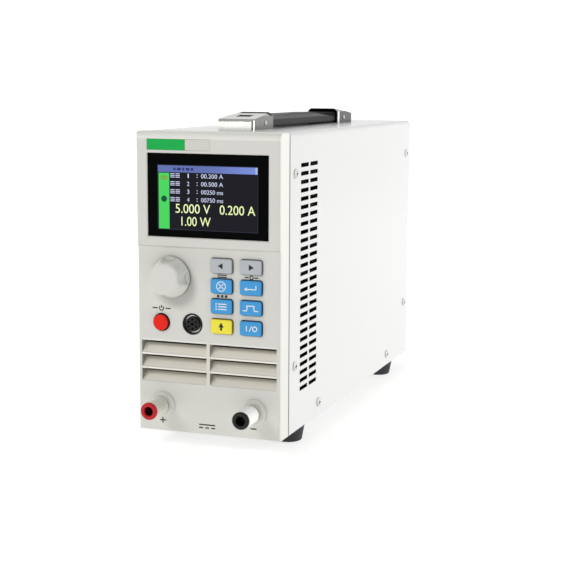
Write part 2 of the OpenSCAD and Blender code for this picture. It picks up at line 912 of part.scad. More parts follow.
// Folded cover of top and two sides, with its columns of slots.
module top_cover() {
    color("whitesmoke") in_place() difference() {
        intersection() {
            along_y(cover_y, case_d) difference() {
                cover_outline(half_w, -past, case_h, bend_r);
                cover_outline(cover_half, -past, case_h - sheet_t, bend_r - sheet_t);
            }
            block([-half_w, 0, 0], [half_w, case_d, case_h]);
        }
        along_x(case_w + 2 * past) for (column = [0, 1]) for (row = [0 : vent_rows - 1])
            translate([vent_y + column * vent_column, case_h - vent_drop - row * vent_pitch])
                rounded_slot(vent_l, vent_h);
        side_screw_holes();
        for (p = cap_bosses()) translate([p[0], p[1], case_h - 2 * sheet_t])
            cylinder(r = screw_hole_r, h = 3 * sheet_t);
    }
}

function cap_bosses() = [
    for (x = [-1, 1]) for (y = [end_inset + cap_boss_u, case_d - end_inset - cap_boss_u]) [x * cap_boss_x, y]
];

// Screws of the cover, of the feet and of the handle.
module case_screws() {
    color("silver") in_place() {
        for (p = SIDE_SCREWS) for (x = [-1, 1]) translate([x * half_w, p[0], p[1]]) rotate([0, x * 90, 0])
            screw(side_reach);
        for (p = FOOT_PLACES) translate([p[0], p[1], foot_recess - foot_h]) rotate([180, 0, 0])
            screw(foot_h - foot_recess + sheet_t + 3);
        for (p = cap_bosses()) translate([p[0], p[1], case_h - sheet_t]) rotate([180, 0, 0])
            screw(sheet_t + 3.5);
    }
}

module rubber_feet() {
    color("black") in_place() for (p = FOOT_PLACES) translate([p[0], p[1], -foot_h]) difference() {
        rotate_extrude() {
            polygon([
                [0, 0],
                [foot_r - 3, 0],
                [foot_r - 1.5, 1.5],
                [foot_r, foot_h],
                [0, foot_h]
            ]);
            translate([foot_r - 3, 1.5]) circle(1.5);
        }
        translate([0, 0, -past]) cylinder(r = screw_head_r + 1, h = foot_recess + past);
        cylinder(r = screw_hole_r, h = foot_h + past);
    }
}

// Side and end outlines of a handle cap, drawn in by the wall for its hollow.
module cap_side(wall) {
    polygon([
        [wall, -wall],
        [cap_l + wall, -wall],
        [cap_l + wall, cap_top(cap_l + wall) - wall],
        [cap_lead, cap_end_h - wall],
        [wall, cap_end_h - 1.6 - wall]
    ]);
}

module cap_mouth(wall) {
    half = cap_w / 2 - wall;
    polygon([
        [-half, -wall],
        [half, -wall],
        [half, cap_shoulder - wall / 2],
        [half - cap_chamfer, cap_mouth_h - wall],
        [cap_chamfer - half, cap_mouth_h - wall],
        [-half, cap_shoulder - wall / 2]
    ]);
}

module handle_cap() {
    translate([0, end_inset, case_h]) difference() {
        union() {
            difference() {
                intersection() {
                    along_x(cap_w) cap_side(0);
                    along_y(0, cap_l) cap_mouth(0);
                    linear_extrude(cap_mouth_h) plan_outline(cap_w, 0, cap_l, 1.5);
                }
                intersection() {
                    along_x(cap_w) cap_side(cap_wall);
                    along_y(0, cap_l + past) cap_mouth(cap_wall);
                }
            }
            for (x = [-1, 1]) translate([x * cap_boss_x, cap_boss_u, 0])
                cylinder(r = 2.8, h = cap_end_h - 0.4);
        }
        for (x = [-1, 1]) translate([x * cap_boss_x, cap_boss_u, -past])
            cylinder(r = screw_r + turn_gap, h = 4 + past);
        rod_x(cap_pin_u, cap_pin_z, pin_r + turn_gap, -cap_w, cap_w);
        translate([-4.5, cap_pin_u - 8, cap_top(cap_pin_u - 8) - 0.5])
            rotate([atan(cap_slope), 0, 0]) cube([9, 7, 2]);
    }
}

module at_rear() {
    translate([0, case_d, 0]) mirror([0, 1, 0]) children();
}

module front_handle_cap() {
    color("silver") in_place() handle_cap();
}

module rear_handle_cap() {
    color("silver") in_place() at_rear() handle_cap();
}

module handle_strap() {
    tip = end_inset + strap_end_u;
    mouth = end_inset + cap_l;
    top = strap_top(cap_l);
    color("dimgray") in_place() translate([0, 0, case_h]) difference() {
        intersection() {
            along_x(strap_w) polygon([
                [tip, strap_z],
                [case_d - tip, strap_z],
                [case_d - tip, strap_top(strap_end_u)],
                [case_d - mouth, top],
                [mid_y + 30, top + 0.6],
                [mid_y - 30, top + 0.6],
                [mouth, top],
                [tip, strap_top(strap_end_u)]
            ]);
            along_y(tip, case_d - tip) {
                translate([-strap_w / 2, strap_z + 0.8]) square([strap_w, top - strap_z - 2.6]);
                translate([1.2 - strap_w / 2, strap_z]) square([strap_w - 2.4, top - strap_z + 0.6]);
                for (x = [-1, 1]) translate([x * (strap_w / 2 - 1.2), strap_z + 1.2]) circle(1.2);
                for (x = [-1, 1]) translate([x * (strap_w / 2 - 2.4), top - 1.8]) circle(2.4);
            }
        }
        for (y = [end_inset + cap_pin_u, case_d - end_inset - cap_pin_u])
            translate([0, y, cap_pin_z - strap_lift / 2]) along_x(strap_w + past)
                rounded_slot(8, 2 * pin_r + strap_lift + 2 * run_gap);
    }
}

module handle_pins() {
    head = 0.5;
    color("silver") in_place() for (y = [end_inset + cap_pin_u, case_d - end_inset - cap_pin_u]) {
        rod_x(y, case_h + cap_pin_z, pin_r, -cap_w / 2 - 0.1, cap_w / 2 + 0.1);
        for (x = [-1, 1]) translate([x * cap_w / 2, y, case_h + cap_pin_z]) rotate([0, x * 90, 0])
            rotate_extrude() polygon([[0, 0], [1.8, 0], [1.4, head], [0, head]]);
    }
}

// Square fan frame with its bore, its screw holes and the stator on four struts.
module fan_frame() {
    color("black") in_place() difference() {
        union() {
            difference() {
                along_y(fan_front, fan_back) translate([0, fan_z]) rounded_rect(fan_size, fan_size, 4);
                rod_y(0, fan_z, fan_bore, fan_front - past, fan_back + past);
            }
            rod_y(0, fan_z, stator_r, fan_back - stator_l, fan_back - 0.5);
            for (turn = [0 : 90 : 270]) translate([0, 0, fan_z]) rotate([0, turn, 0])
                block([0, fan_back - stator_l + 0.5, -2], [fan_bore + 0.5, fan_back - 0.8, 2]);
        }
        rod_y(0, fan_z, axle_r + turn_gap, fan_back - stator_l - past, fan_back - 1);
        for (x = [-1, 1]) for (z = [-1, 1])
            rod_y(x * fan_hole, fan_z + z * fan_hole, 2, fan_front - past, fan_back + past);
    }
}

module fan_rotor() {
    depth = fan_hub_end - fan_front - 2;
    middle = (fan_hub_end + fan_front + 2) / 2;
    color("dimgray") in_place() {
        difference() {
            rod_y(0, fan_z, fan_hub_r, fan_front + 2, fan_hub_end);
            rod_y(0, fan_z, fan_hub_r - 1.5, fan_front + 4, fan_hub_end + past);
        }
        rod_y(0, fan_z, axle_r, fan_front + 3, fan_back - 1.3);
        for (blade = [0 : fan_blades - 1]) intersection() {
            translate([0, middle, fan_z]) rotate([0, blade * 360 / fan_blades, 0]) rotate([0, 0, 0])
                rotate([50, 0, 0]) translate([fan_hub_r - 1, -0.8, -10.5])
                    cube([fan_bore, 1.6, 21]);
            difference() {
                rod_y(0, fan_z, fan_bore - 1, middle - depth / 2 + 0.5, middle + depth / 2 - 0.5);
                rod_y(0, fan_z, fan_hub_r - 0.7, fan_front, fan_back);
            }
        }
    }
}

module fan_guard() {
    spoke_l = fan_hole * sqrt(2);
    spoke_y = case_d + wire_r + 0.1;
    ring_y = spoke_y + 2 * wire_r - 0.2;
    color("silver") in_place() {
        for (r = [0.24, 0.44, 0.64, 0.84, 1]) translate([0, ring_y, fan_z]) rotate([90, 0, 0])
            rotate_extrude() translate([r * fan_bore, 0]) circle(wire_r);
        for (turn = [45 : 90 : 315]) translate([0, 0, fan_z]) rotate([0, turn, 0]) difference() {
            union() {
                rod_x(spoke_y, 0, wire_r, 0.2 * fan_bore, spoke_l - 2.6);
                rod_y(spoke_l, 0, 3.6, case_d, case_d + guard_t);
            }
            rod_y(spoke_l, 0, 2.2, case_d - past, case_d + 3);
        }
    }
}

// Screws of the fan and of the mains inlet.
module rear_screws() {
    color("silver") in_place() {
        for (x = [-1, 1]) for (z = [-1, 1])
            translate([x * fan_hole, case_d + guard_t, fan_z + z * fan_hole]) rotate([-90, 0, 0])
                screw(12, 1.9, 3.4, 1.8);
        for (x = [-20, 20]) translate([x, case_d + flange_t, inlet_z]) rotate([-90, 0, 0])
            screw(9, 1.9, 3.4, 1.8);
    }
}

module socket_outline() {
    w = socket_w / 2;
    h = socket_h / 2;
    polygon([[-w, -h], [w, -h], [w, h - 5], [w - 5, h], [5 - w, h], [-w, h - 5]]);
}

// Mains inlet: a flange outside, the plug socket and the fuse compartment below it.
module mains_inlet() {
    rear = case_d + flange_t;
    color("black") in_place() difference() {
        union() {
            along_y(case_d, rear) translate([0, inlet_z]) rounded_rect(flange_w, flange_h, 3);
            along_y(case_d - inlet_l, case_d + 0.5) translate([0, inlet_z])
                square([inlet_w, inlet_h], center = true);
        }
        along_y(rear - socket_deep, rear + past) translate([0, inlet_z + socket_up]) socket_outline();
        along_y(rear - drawer_l - 0.5, rear + past) translate([0, inlet_z - drawer_down])
            square([drawer_w + 2 * run_gap, drawer_h + 2 * run_gap], center = true);
        for (x = [-20, 20]) rod_y(x, inlet_z, 2, case_d - past, rear + past);
    }
}

module inlet_pins() {
    floor_y = case_d + flange_t - socket_deep;
    color("silver") in_place() for (p = [[-7, -2], [0, 2], [7, -2]]) block(
        [p[0] - 1, floor_y, inlet_z + socket_up + p[1] - 2],
        [p[0] + 1, floor_y + blade_l, inlet_z + socket_up + p[1] + 2]
    );
}

module fuse_drawer() {
    rear = case_d + flange_t;
    color("black") in_place() difference() {
        union() {
            along_y(rear - drawer_l, rear + 0.5) translate([0, inlet_z - drawer_down])
                square([drawer_w, drawer_h], center = true);
            along_y(rear + face_gap, rear + drawer_lip + face_gap) translate([0, inlet_z - drawer_down])
                rounded_rect(drawer_w + 2.4, drawer_h + 1, 1);
        }
        block(
            [-drawer_w / 2 + 1, rear - drawer_l + 2, inlet_z - drawer_down - 1.8],
            [drawer_w / 2 - 1, rear - 4, inlet_z - drawer_down + drawer_h]
        );
    }
}

module serial_outline(w, h) {
    polygon([[-w / 2, h / 2], [w / 2, h / 2], [w / 2 - 1.4, -h / 2], [1.4 - w / 2, -h / 2]]);
}

module serial_port() {
    color("silver") in_place() difference() {
        union() {
            along_y(case_d, case_d + 0.8) translate([0, serial_z])
                rounded_rect(serial_plate_w, serial_plate_h, 1);
            along_y(case_d - 9, case_d + serial_l) translate([0, serial_z])
                serial_outline(serial_shell_w, serial_shell_h);
        }
        for (row = [0, 1]) for (i = [0 : 4 - row])
            rod_y((i - 2 + row / 2) * 2.76, serial_z + 1.4 - row * 2.8, 0.55, case_d + 1, case_d + 7);
        for (x = [-12.5, 12.5]) rod_y(x, serial_z, 1.6, case_d - past, case_d + 2);
    }
}

module serial_jackscrews() {
    color("silver") in_place() for (x = [-12.5, 12.5]) difference() {
        union() {
            translate([x, case_d + 0.8, serial_z]) rotate([-90, 0, 0]) cylinder(r = 2.7, h = 5, $fn = 6);
            rod_y(x, serial_z, 1.5, case_d - 5, case_d + 1);
        }
        rod_y(x, serial_z, 1.1, case_d + 1.5, case_d + 7);
    }
}

// Sheet-metal stand that carries the heat sink over the main board.
module heatsink_bracket() {
    shelf = sink_z - sheet_t;
    color("silver") in_place() difference() {
        union() {
            block([-leg_half, sink_y, shelf], [leg_half, sink_end, sink_z]);
            for (x = [-1, 1]) {
                translate([x * (leg_half - sheet_t / 2), 0, 0]) along_x(sheet_t)
                    translate([sink_y, sheet_t]) square([sink_end - sink_y, sink_z - sheet_t]);
                translate([x * (leg_half - leg_flange / 2), 0, 0]) along_x(leg_flange)
                    translate([sink_y, sheet_t]) square([sink_end - sink_y, sheet_t]);
            }
        }
        along_x(case_w) for (i = [0 : 2])
            translate([sink_y + 10 + i * (sink_end - sink_y - 10) / 3, tray_side_h + 6])
                square([(sink_end - sink_y - 40) / 3, sink_z - tray_side_h - 20]);
    }
}

module heatsink() {
    color("lightgray") in_place() {
        block([sink_x, sink_y, sink_z], [sink_x + sink_base, sink_end, sink_z + fan_size]);
        for (i = [0 : fins - 1]) block(
            [sink_x + sink_base - 0.5, sink_y, sink_z + i * fin_pitch],
            [sink_half, sink_end, sink_z + i * fin_pitch + fin_t]
        );
    }
}

transistor_pitch = (sink_end - sink_y - 24 - transistor_w) / (transistor_columns - 1);
function transistor_y(i) = sink_y + 12 + i * transistor_pitch;

// Power transistors on the flat of the heat sink, with three leads each to the power board.
module transistors() {
    color("black") in_place() for (i = [0 : transistor_columns - 1]) for (share = [0.11, 0.56])
        translate([sink_x, transistor_y(i), sink_z + share * fan_size]) {
            block([-transistor_t, 0, 5], [0, transistor_w, 5 + transistor_h]);
            for (lead = [2.5, 8, 13.5]) {
                block([-2.9, lead - 0.6, 1], [-2.1, lead + 0.6, 6]);
                block([-power_gap, lead - 0.6, 0.2], [-2.1, lead + 0.6, 1]);
            }
        }
}

module power_board() {
    color("darkgreen") in_place() block(
        [power_x, sink_y + 2, sink_z + 4],
        [power_x + board_t, sink_end - 2, sink_z + fan_size - 4]
    );
}

module board_standoffs() {
    color("gold") in_place() {
        for (x = [-1, 1]) for (y = [main_y + 8, (main_y + main_end) / 2, main_end - 8])
            translate([x * (main_half - 5), y, sheet_t]) cylinder(r = 2.5, h = standoff_h);
        for (y = [sink_y + 6, sink_end - 6]) for (z = [sink_z + 8, sink_z + fan_size - 8])
            rod_x(y, z, 2.5, power_x + board_t, sink_x);
    }
}

module main_board() {
    color("darkgreen") in_place() block([-main_half, main_y, main_z], [main_half, main_end, main_top]);
}

// Mains transformer: a laminated core with two windows and a coil round its middle leg.
module transformer() {
    window_low = main_top + (core_h - core_window_h) / 2;
    coil_half = core_leg / 2 + core_window_w - coil_gap;
    color("peru") in_place() translate([0, core_y, 0]) {
        difference() {
            block([-core_w / 2, -core_d / 2, main_top], [core_w / 2, core_d / 2, main_top + core_h]);
            for (x = [-1, 1]) translate([x * (core_leg + core_window_w) / 2, 0, 0])
                along_x(core_window_w) translate([-core_d, window_low]) square([2 * core_d, core_window_h]);
        }
        difference() {
            block(
                [-coil_half, -core_d / 2 - coil_over, window_low + coil_gap],
                [coil_half, core_d / 2 + coil_over, window_low + core_window_h - coil_gap]
            );
            block(
                [-core_leg / 2 - coil_gap, -core_d / 2 - coil_gap, window_low - past],
                [core_leg / 2 + coil_gap, core_d / 2 + coil_gap, window_low + core_window_h + past]
            );
        }
    }
}

// Ribbon from the front board to the main board, and three wires from the inlet.
module wiring() {
    turn_y = main_end - 6;
    turn_z = inlet_z + socket_up;
    color("silver") in_place() {
        along_x(ribbon_w) polygon([
            [board_y + board_t, ribbon_z],
            [ribbon_y + ribbon_t, ribbon_z],
            [ribbon_y + ribbon_t, main_top],
            [ribbon_y, main_top],
            [ribbon_y, ribbon_z - ribbon_t],
            [board_y + board_t, ribbon_z - ribbon_t]
        ]);
        for (x = [-7, 0, 7]) {
            rod_y(x, turn_z, wire_core_r, turn_y, case_d - inlet_l);
            translate([x, turn_y, turn_z]) sphere(wire_core_r);
            translate([x, turn_y, main_top]) cylinder(r = wire_core_r, h = turn_z - main_top);
        }
    }
}

front_bezel();
display_window();
lcd_module();
green_badge();
label_plate();
front_board();
panel_switches();
front_screws();
encoder_body();
encoder_shaft();
control_knob();
power_button();
sense_socket();
sense_shell();
terminal_bases();
stud(-1);  // plus_stud
stud(1);  // minus_stud
washer(-1);  // plus_washer
washer(1);  // minus_washer
color("silver") thumb_nut(-1);  // plus_nut
color("white") thumb_nut(1);  // minus_nut
color("red") end_ring(-1);  // plus_ring
color("black") end_ring(1);  // minus_ring
terminal_nuts();
busbars();
front_frame();
base_tray();
rear_panel();
top_cover();
case_screws();
rubber_feet();
front_handle_cap();
rear_handle_cap();
handle_strap();
handle_pins();
fan_frame();
fan_rotor();
fan_guard();
rear_screws();
mains_inlet();
inlet_pins();
fuse_drawer();
serial_port();
serial_jackscrews();
heatsink_bracket();
heatsink();
transistors();
power_board();
board_standoffs();
main_board();
transformer();
wiring();
for (key = KEYS) color(key[3]) key_cap(key[1], key[2]);
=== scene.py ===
"""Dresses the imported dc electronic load: a finish for every node, the lit display, the printed
marks and the stage."""

import math

import bmesh
import bpy
from bpy.props import FloatProperty, FloatVectorProperty, PointerProperty, StringProperty
from mathutils import Matrix, Vector


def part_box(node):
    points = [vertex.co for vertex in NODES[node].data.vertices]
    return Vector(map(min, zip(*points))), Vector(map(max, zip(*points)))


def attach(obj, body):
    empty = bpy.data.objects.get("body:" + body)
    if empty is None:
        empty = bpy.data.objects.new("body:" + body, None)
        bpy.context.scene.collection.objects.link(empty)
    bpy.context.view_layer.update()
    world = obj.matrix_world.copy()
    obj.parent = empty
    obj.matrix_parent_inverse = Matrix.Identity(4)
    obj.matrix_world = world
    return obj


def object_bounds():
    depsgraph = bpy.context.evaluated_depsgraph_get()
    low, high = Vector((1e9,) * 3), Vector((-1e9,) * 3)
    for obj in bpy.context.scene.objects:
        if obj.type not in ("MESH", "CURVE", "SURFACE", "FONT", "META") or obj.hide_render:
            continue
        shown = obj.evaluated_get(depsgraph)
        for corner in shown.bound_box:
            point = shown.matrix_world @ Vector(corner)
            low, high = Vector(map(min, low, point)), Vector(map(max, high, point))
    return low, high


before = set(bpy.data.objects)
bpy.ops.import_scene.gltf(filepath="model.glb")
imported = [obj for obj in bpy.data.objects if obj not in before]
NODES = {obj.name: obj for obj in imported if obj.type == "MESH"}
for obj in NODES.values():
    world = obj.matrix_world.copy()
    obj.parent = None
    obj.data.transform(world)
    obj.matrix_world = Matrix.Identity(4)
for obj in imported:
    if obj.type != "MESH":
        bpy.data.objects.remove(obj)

bl_info = {
    "name": "Bench electronic load",
    "version": (1, 0, 0),
    "blender": (4, 5, 0),
    "location": "View3D > Sidebar > Load",
    "description": "Finishes, display, marks and stage of a bench dc electronic load",
    "category": "Object",
}

CAD_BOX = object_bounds()
MM = 0.001

# Millimetres: depths behind the face of the lower panel, heights over the underside of the case
BEZEL_DEPTH = 14.5
VENT_TOP, VENT_PITCH, VENT_MIDDLE, VENT_COLUMN = 155.1, 4.87, 48.825, 16.65
VENT_RIM_LENGTH, VENT_RIM_HEIGHT = 13.8, 2.44
VENT_DEPTHS, VENT_HEIGHTS = (30.0, 68.0), (21.5, 157.5)
LOUVRE_HEIGHTS, LOUVRE_HALF_WIDTH, RIB_HALF_WIDTH = (28.0, 54.5), 41.7, 1.6
CAMERA_PLACE = (293.88, -691.91, 202.34)

# The camera's turns in radians
CAMERA_YAW, CAMERA_PITCH, CAMERA_ROLL = 0.3410, 0.1532, 0.0055

# The stage in metres
FLOOR_REACH, WALL_HEIGHT, COVE_RADIUS = 12.0, 9.0, 7.0
BACKDROP_RADIUS, BACKDROP_HEIGHT, BACKDROP_MIDDLE = 14.0, 24.0, 6.0


# Small helpers


def linear(level):
    """One channel of a screen colour, 0 to 255, as linear light."""
    share = level / 255
    return share / 12.92 if share <= 0.04045 else ((share + 0.055) / 1.055) ** 2.4


def screen(red, green, blue):
    return (linear(red), linear(green), linear(blue), 1.0)


def shade(colour, share):
    """A colour made darker or lighter by a share of its light."""
    return tuple(min(1.0, channel * share) for channel in colour[:3]) + (1.0,)


def colour_choice(name, description, red, green, blue):
    start = screen(red, green, blue)
    return FloatVectorProperty(
        name=name, description=description, default=start, subtype="COLOR", size=4, min=0.0, max=1.0
    )


def number_choice(name, description, value, low=0.0, **limits):
    return FloatProperty(name=name, description=description, default=value, min=low, **limits)


def length_choice(name, description, millimetres):
    return number_choice(name, description, millimetres * MM, unit="LENGTH", precision=5)


def middle(node):
    low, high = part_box(node)
    return (low + high) / 2


def behind(back):
    """Where a plane lies that is some millimetres behind the face of the lower panel."""
    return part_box("front_bezel")[1].y - BEZEL_DEPTH * MM + back * MM


def above(up):
    """Where a plane lies that is some millimetres over the underside of the case."""
    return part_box("base_tray")[0].z + up * MM


def panel_point(x, back, up):
    """A point in millimetres from the middle, the lower panel's face and the case's underside."""
    return Vector((x * MM, behind(back), above(up)))


# What a user may change


class LoadCaseColours(bpy.types.PropertyGroup):
    """Colours of the case, the front and the handle."""

    cover: colour_choice("Cover", "Powder coat of the folded cover and rear panel", 217, 217, 216)
    bezel: colour_choice("Bezel", "Moulded front, knob and terminal feet", 221, 220, 214)
    badge: colour_choice("Badge", "Plain green inlay over the display", 22, 178, 80)
    plate: colour_choice("Plate", "Plain grey inlay beside the badge", 216, 215, 207)
    window: colour_choice("Window", "Black acrylic over the display", 4, 5, 5)
    chrome: colour_choice("Chrome", "Plated caps of the handle", 255, 254, 247)
    strap: colour_choice("Strap", "Rubber strap of the handle", 34, 34, 35)
    rubber: colour_choice("Rubber", "Feet under the case", 52, 52, 56)


class LoadControlColours(bpy.types.PropertyGroup):
    """Colours of the keys, buttons and terminals."""

    blue_key: colour_choice("Blue keys", "Faces of the five blue keys", 70, 162, 225)
    grey_key: colour_choice("Grey keys", "Faces of the two arrow keys", 190, 194, 200)
    yellow_key: colour_choice("Yellow key", "Face of the yellow key", 253, 238, 72)
    power: colour_choice("Power button", "Red push button", 240, 24, 0)
    plus_sleeve: colour_choice("Plus sleeve", "Sleeve of the plus thumb nut", 230, 227, 215)
    minus_sleeve: colour_choice("Minus sleeve", "Sleeve of the minus thumb nut", 253, 252, 250)
    plus_end: colour_choice("Plus end", "Ring on the end of the plus post", 196, 30, 40)
    minus_end: colour_choice("Minus end", "Ring on the end of the minus post", 24, 24, 26)


class LoadDisplayLook(bpy.types.PropertyGroup):
    """Sizes and colours of what the display shows."""

    width: length_choice("Width", "Width of the lit field", 61.0)
    height: length_choice("Height", "Height of the lit field", 36.5)
    drop: length_choice("Drop", "How far the lit field lies under the window's middle", 1.15)
    glow: number_choice("Glow", "Light that the lit field gives off", 0.95, max=4.0)
    field: colour_choice("Field", "Ground of the lit field", 26, 26, 36)
    bar: colour_choice("Bar", "Bar along the top of the field", 122, 142, 218)
    side: colour_choice("Side", "Bar down the left of the field", 74, 214, 96)
    rows: colour_choice("Rows", "Small figures", 206, 212, 240)
    readings: colour_choice("Readings", "Large figures", 228, 244, 180)
    first: StringProperty(name="First reading", description="Large figures on the left", default="5.000 V")
    second: StringProperty(name="Second reading", description="Large figures on the right", default="0.200 A")
    third: StringProperty(name="Third reading", description="Large figures below", default="1.00 W")


class LoadMarkLook(bpy.types.PropertyGroup):
    """Sizes and colours of the printed marks."""

    thickness: length_choice("Thickness", "Height of the ink over its surface", 0.04)
    light: colour_choice("Light ink", "Marks on the blue keys", 236, 244, 250)
    dark: colour_choice("Dark ink", "Marks on the panel and on the light keys", 24, 24, 26)


class LoadStageLook(bpy.types.PropertyGroup):
    """The studio round the load."""

    floor: colour_choice("Floor", "Pale studio floor", 238, 238, 237)
    backlight: number_choice("Backlight", "Light that the floor gives off", 0.93, max=5.0)
    sky: number_choice("Sky", "Strength of the even light from all round", 0.38, max=5.0)
    key_light: number_choice("Key light", "Power of the light at the upper left", 7.0, unit="POWER")
    side_light: number_choice("Side light", "Power of the soft light on the right", 17.0, unit="POWER")
    top_light: number_choice("Top light", "Power of the light over the left side", 5.6, unit="POWER")
    lens: number_choice("Lens", "Focal length on a 36 mm sensor", 83.38, low=10.0, unit="CAMERA")


# Finishes


class Value:
    """A number over a surface. Arithmetic on it adds Math nodes to its finish."""

    def __init__(self, finish, socket):
        self.finish = finish
        self.socket = socket

    def __add__(self, other):
        return self.finish.math("ADD", self, other)

    __radd__ = __add__

    def __sub__(self, other):
        return self.finish.math("SUBTRACT", self, other)

    def __rsub__(self, other):
        return self.finish.math("SUBTRACT", other, self)

    def __mul__(self, other):
        return self.finish.math("MULTIPLY", self, other)

    __rmul__ = __mul__

    def __gt__(self, other):
        return self.finish.math("GREATER_THAN", self, other)

    def __lt__(self, other):
        return self.finish.math("LESS_THAN", self, other)

    def __abs__(self):
        return self.finish.math("ABSOLUTE", self)


class Finish:
    """One material on Object coordinates, with short ways to add nodes to it."""

    def __init__(self, name, **constants):
        self.material = bpy.data.materials.new(name)
        self.material.use_nodes = True
        self.tree = self.material.node_tree
        self.shader = self.tree.nodes["Principled BSDF"]
        self.place = self.node("TexCoord").outputs["Object"]
        for socket, value in constants.items():
            self.set(socket.replace("_", " "), value)

    def node(self, kind, settings=None, sockets=None):
        """Adds a node: its settings first, then the values or links of its sockets."""
        made = self.tree.nodes.new("ShaderNode" + kind)
        for name, value in (settings or {}).items():
            setattr(made, name, value)
        for name, value in (sockets or {}).items():
            self.feed(made.inputs[name], value)
        return made

    def feed(self, socket, value):
        if isinstance(value, Value):
            value = value.socket
        if isinstance(value, bpy.types.NodeSocket):
            self.tree.links.new(value, socket)
        else:
            socket.default_value = value

    def set(self, socket, value):
        self.feed(self.shader.inputs[socket], value)

    def math(self, operation, *operands):
        made = self.node("Math", {"operation": operation}, dict(enumerate(operands)))
        return Value(self, made.outputs[0])

    def split(self, vector):
        made = self.node("SeparateXYZ", None, {0: vector})
        return [Value(self, socket) for socket in made.outputs]

    def axes(self):
        return self.split(self.place)

    def normals(self):
        return self.split(self.node("NewGeometry").outputs["Normal"])

    def facing(self):
        """How far a face looks to the front: 1 for the front, 0 for the sides."""
        return 0 - self.normals()[1]

    def between(self, value, low, high):
        return (value > low) * (value < high)

    def either(self, *masks):
        joined = masks[0]
        for mask in masks[1:]:
            joined = self.math("MAXIMUM", joined, mask)
        return joined

    def radius(self, at):
        """Distance from an axis that points out of the front."""
        x, _, z = self.axes()
        across, up = x - at.x, z - at.z
        return self.math("SQRT", across * across + up * up)

    def link(self, socket):
        """What feeds a socket of the shader so far."""
        return Value(self, self.shader.inputs[socket].links[0].from_socket)

    def tint(self, share, colour, socket="Base Color"):
        """Covers the colour set so far with another one where share is 1."""
        self.set(socket, self.mix(share, self.link(socket), colour))

    def noise(self, scale, detail=2.0, stretch=None, rough=0.5):
        vector = self.place
        if stretch:
            vector = self.node("Mapping", None, {"Vector": self.place, "Scale": stretch}).outputs[0]
        sockets = {"Vector": vector, "Scale": scale, "Detail": detail, "Roughness": rough}
        return Value(self, self.node("TexNoise", None, sockets).outputs[0])

    def cells(self, scale, feature="F1", randomness=1.0):
        sockets = {"Vector": self.place, "Scale": scale, "Randomness": randomness}
        return Value(self, self.node("TexVoronoi", {"feature": feature}, sockets).outputs["Distance"])

    def waves(self, scale, direction):
        settings = {"wave_type": "BANDS", "bands_direction": direction, "wave_profile": "SIN"}
        made = self.node("TexWave", settings, {"Vector": self.place, "Scale": scale})
        return Value(self, made.outputs["Fac"])

    def ramp(self, value, low, high):
        """0 at low, 1 at high, and smooth between."""
        sockets = {"Value": value, "From Min": low, "From Max": high}
        made = self.node("MapRange", {"interpolation_type": "SMOOTHSTEP"}, sockets)
        return Value(self, made.outputs[0])

    def mix(self, share, low, high):
        made = self.node("Mix", {"data_type": "RGBA"}, {0: share, 6: low, 7: high})
        return made.outputs[2]

    def relief(self, height, depth, edge=0.0):
        """Fine relief over edges that are rounded by the radius edge."""
        sockets = {"Height": height, "Distance": depth, "Strength": 1.0}
        if edge:
            sockets["Normal"] = self.node("Bevel", {"samples": 4}, {"Radius": edge}).outputs[0]
        self.set("Normal", self.node("Bump", None, sockets).outputs[0])

    def wear(self, *names):
        """Puts this finish on CAD nodes."""
        for name in names:
            mesh = NODES[name].data
            mesh.materials.clear()
            mesh.materials.append(self.material)


def moulded(name, colour, roughness, grain=2600.0, depth=0.00003, edge=0.0003, drift=0.02, **constants):
    """Moulded plastic: a fine eroded grain and a slow drift of tone."""
    finish = Finish(name, **constants)
    fine = finish.noise(grain)
    slow = finish.noise(22.0, detail=3.0)
    finish.set("Base Color", finish.mix(slow, shade(colour, 1 - drift), shade(colour, 1 + drift)))
    finish.set("Roughness", fine * 0.14 + (roughness - 0.07))
    finish.relief(fine, depth, edge)
    return finish


def powder_coat(name, colour):
    """Baked powder coat: orange peel, and a finer sparkle in its gloss."""
    finish = Finish(name, IOR=1.5)
    peel = finish.noise(820.0, detail=3.0, rough=0.6)
    slow = finish.noise(9.0)
    finish.set("Base Color", finish.mix(slow, shade(colour, 0.985), shade(colour, 1.015)))
    finish.set("Roughness", peel * 0.14 + 0.14)
    finish.relief(peel, 0.00007, 0.00015)
    return finish


def plated(name, colour, roughness=0.2, stretch=(1.0, 1.0, 1.0), marks=0.12, edge=0.0002):
    """Plated or drawn metal, with marks that run along the direction that is stretched least."""
    finish = Finish(name, Metallic=1.0)
    streak = finish.noise(700.0, detail=3.0, stretch=stretch)
    cloud = finish.noise(60.0)
    finish.set("Base Color", finish.mix(cloud, shade(colour, 0.93), shade(colour, 1.04)))
    finish.set("Roughness", streak * marks + cloud * 0.08 + (roughness - marks / 2 - 0.04))
    finish.relief(streak, 0.00001, edge)
    return finish


def rubber(name, colour, sheen=0.25):
    """Matt rubber with a leathery grain and a little dust on its high spots."""
    finish = Finish(name, Specular_IOR_Level=sheen)
    pores = finish.cells(1500.0)
    cloud = finish.noise(70.0, detail=3.0)
    finish.set("Base Color", finish.mix(cloud, shade(colour, 0.8), shade(colour, 1.35)))
    finish.set("Roughness", pores * 0.12 + cloud * 0.12 + 0.44)
    finish.relief(pores, 0.00005, 0.0004)
    return finish


def key_plastic(name, colour, side):
    """Key caps: a satin face, and sides painted darker as shade that runs down into the panel."""
    finish = Finish(name, IOR=1.48, Specular_IOR_Level=0.3)
    front = finish.ramp(finish.facing(), 0.35, 0.85)
    slow = finish.noise(160.0)
    face = finish.mix(slow, shade(colour, 0.95), shade(colour, 1.05))
    # Painted shade: faces that turn from the front take the darker side colour.
    finish.set("Base Color", finish.mix(front, side, face))
    fine = finish.noise(3200.0)
    finish.set("Roughness", fine * 0.12 + 0.38)
    finish.relief(fine, 0.00002, 0.0007)
    return finish


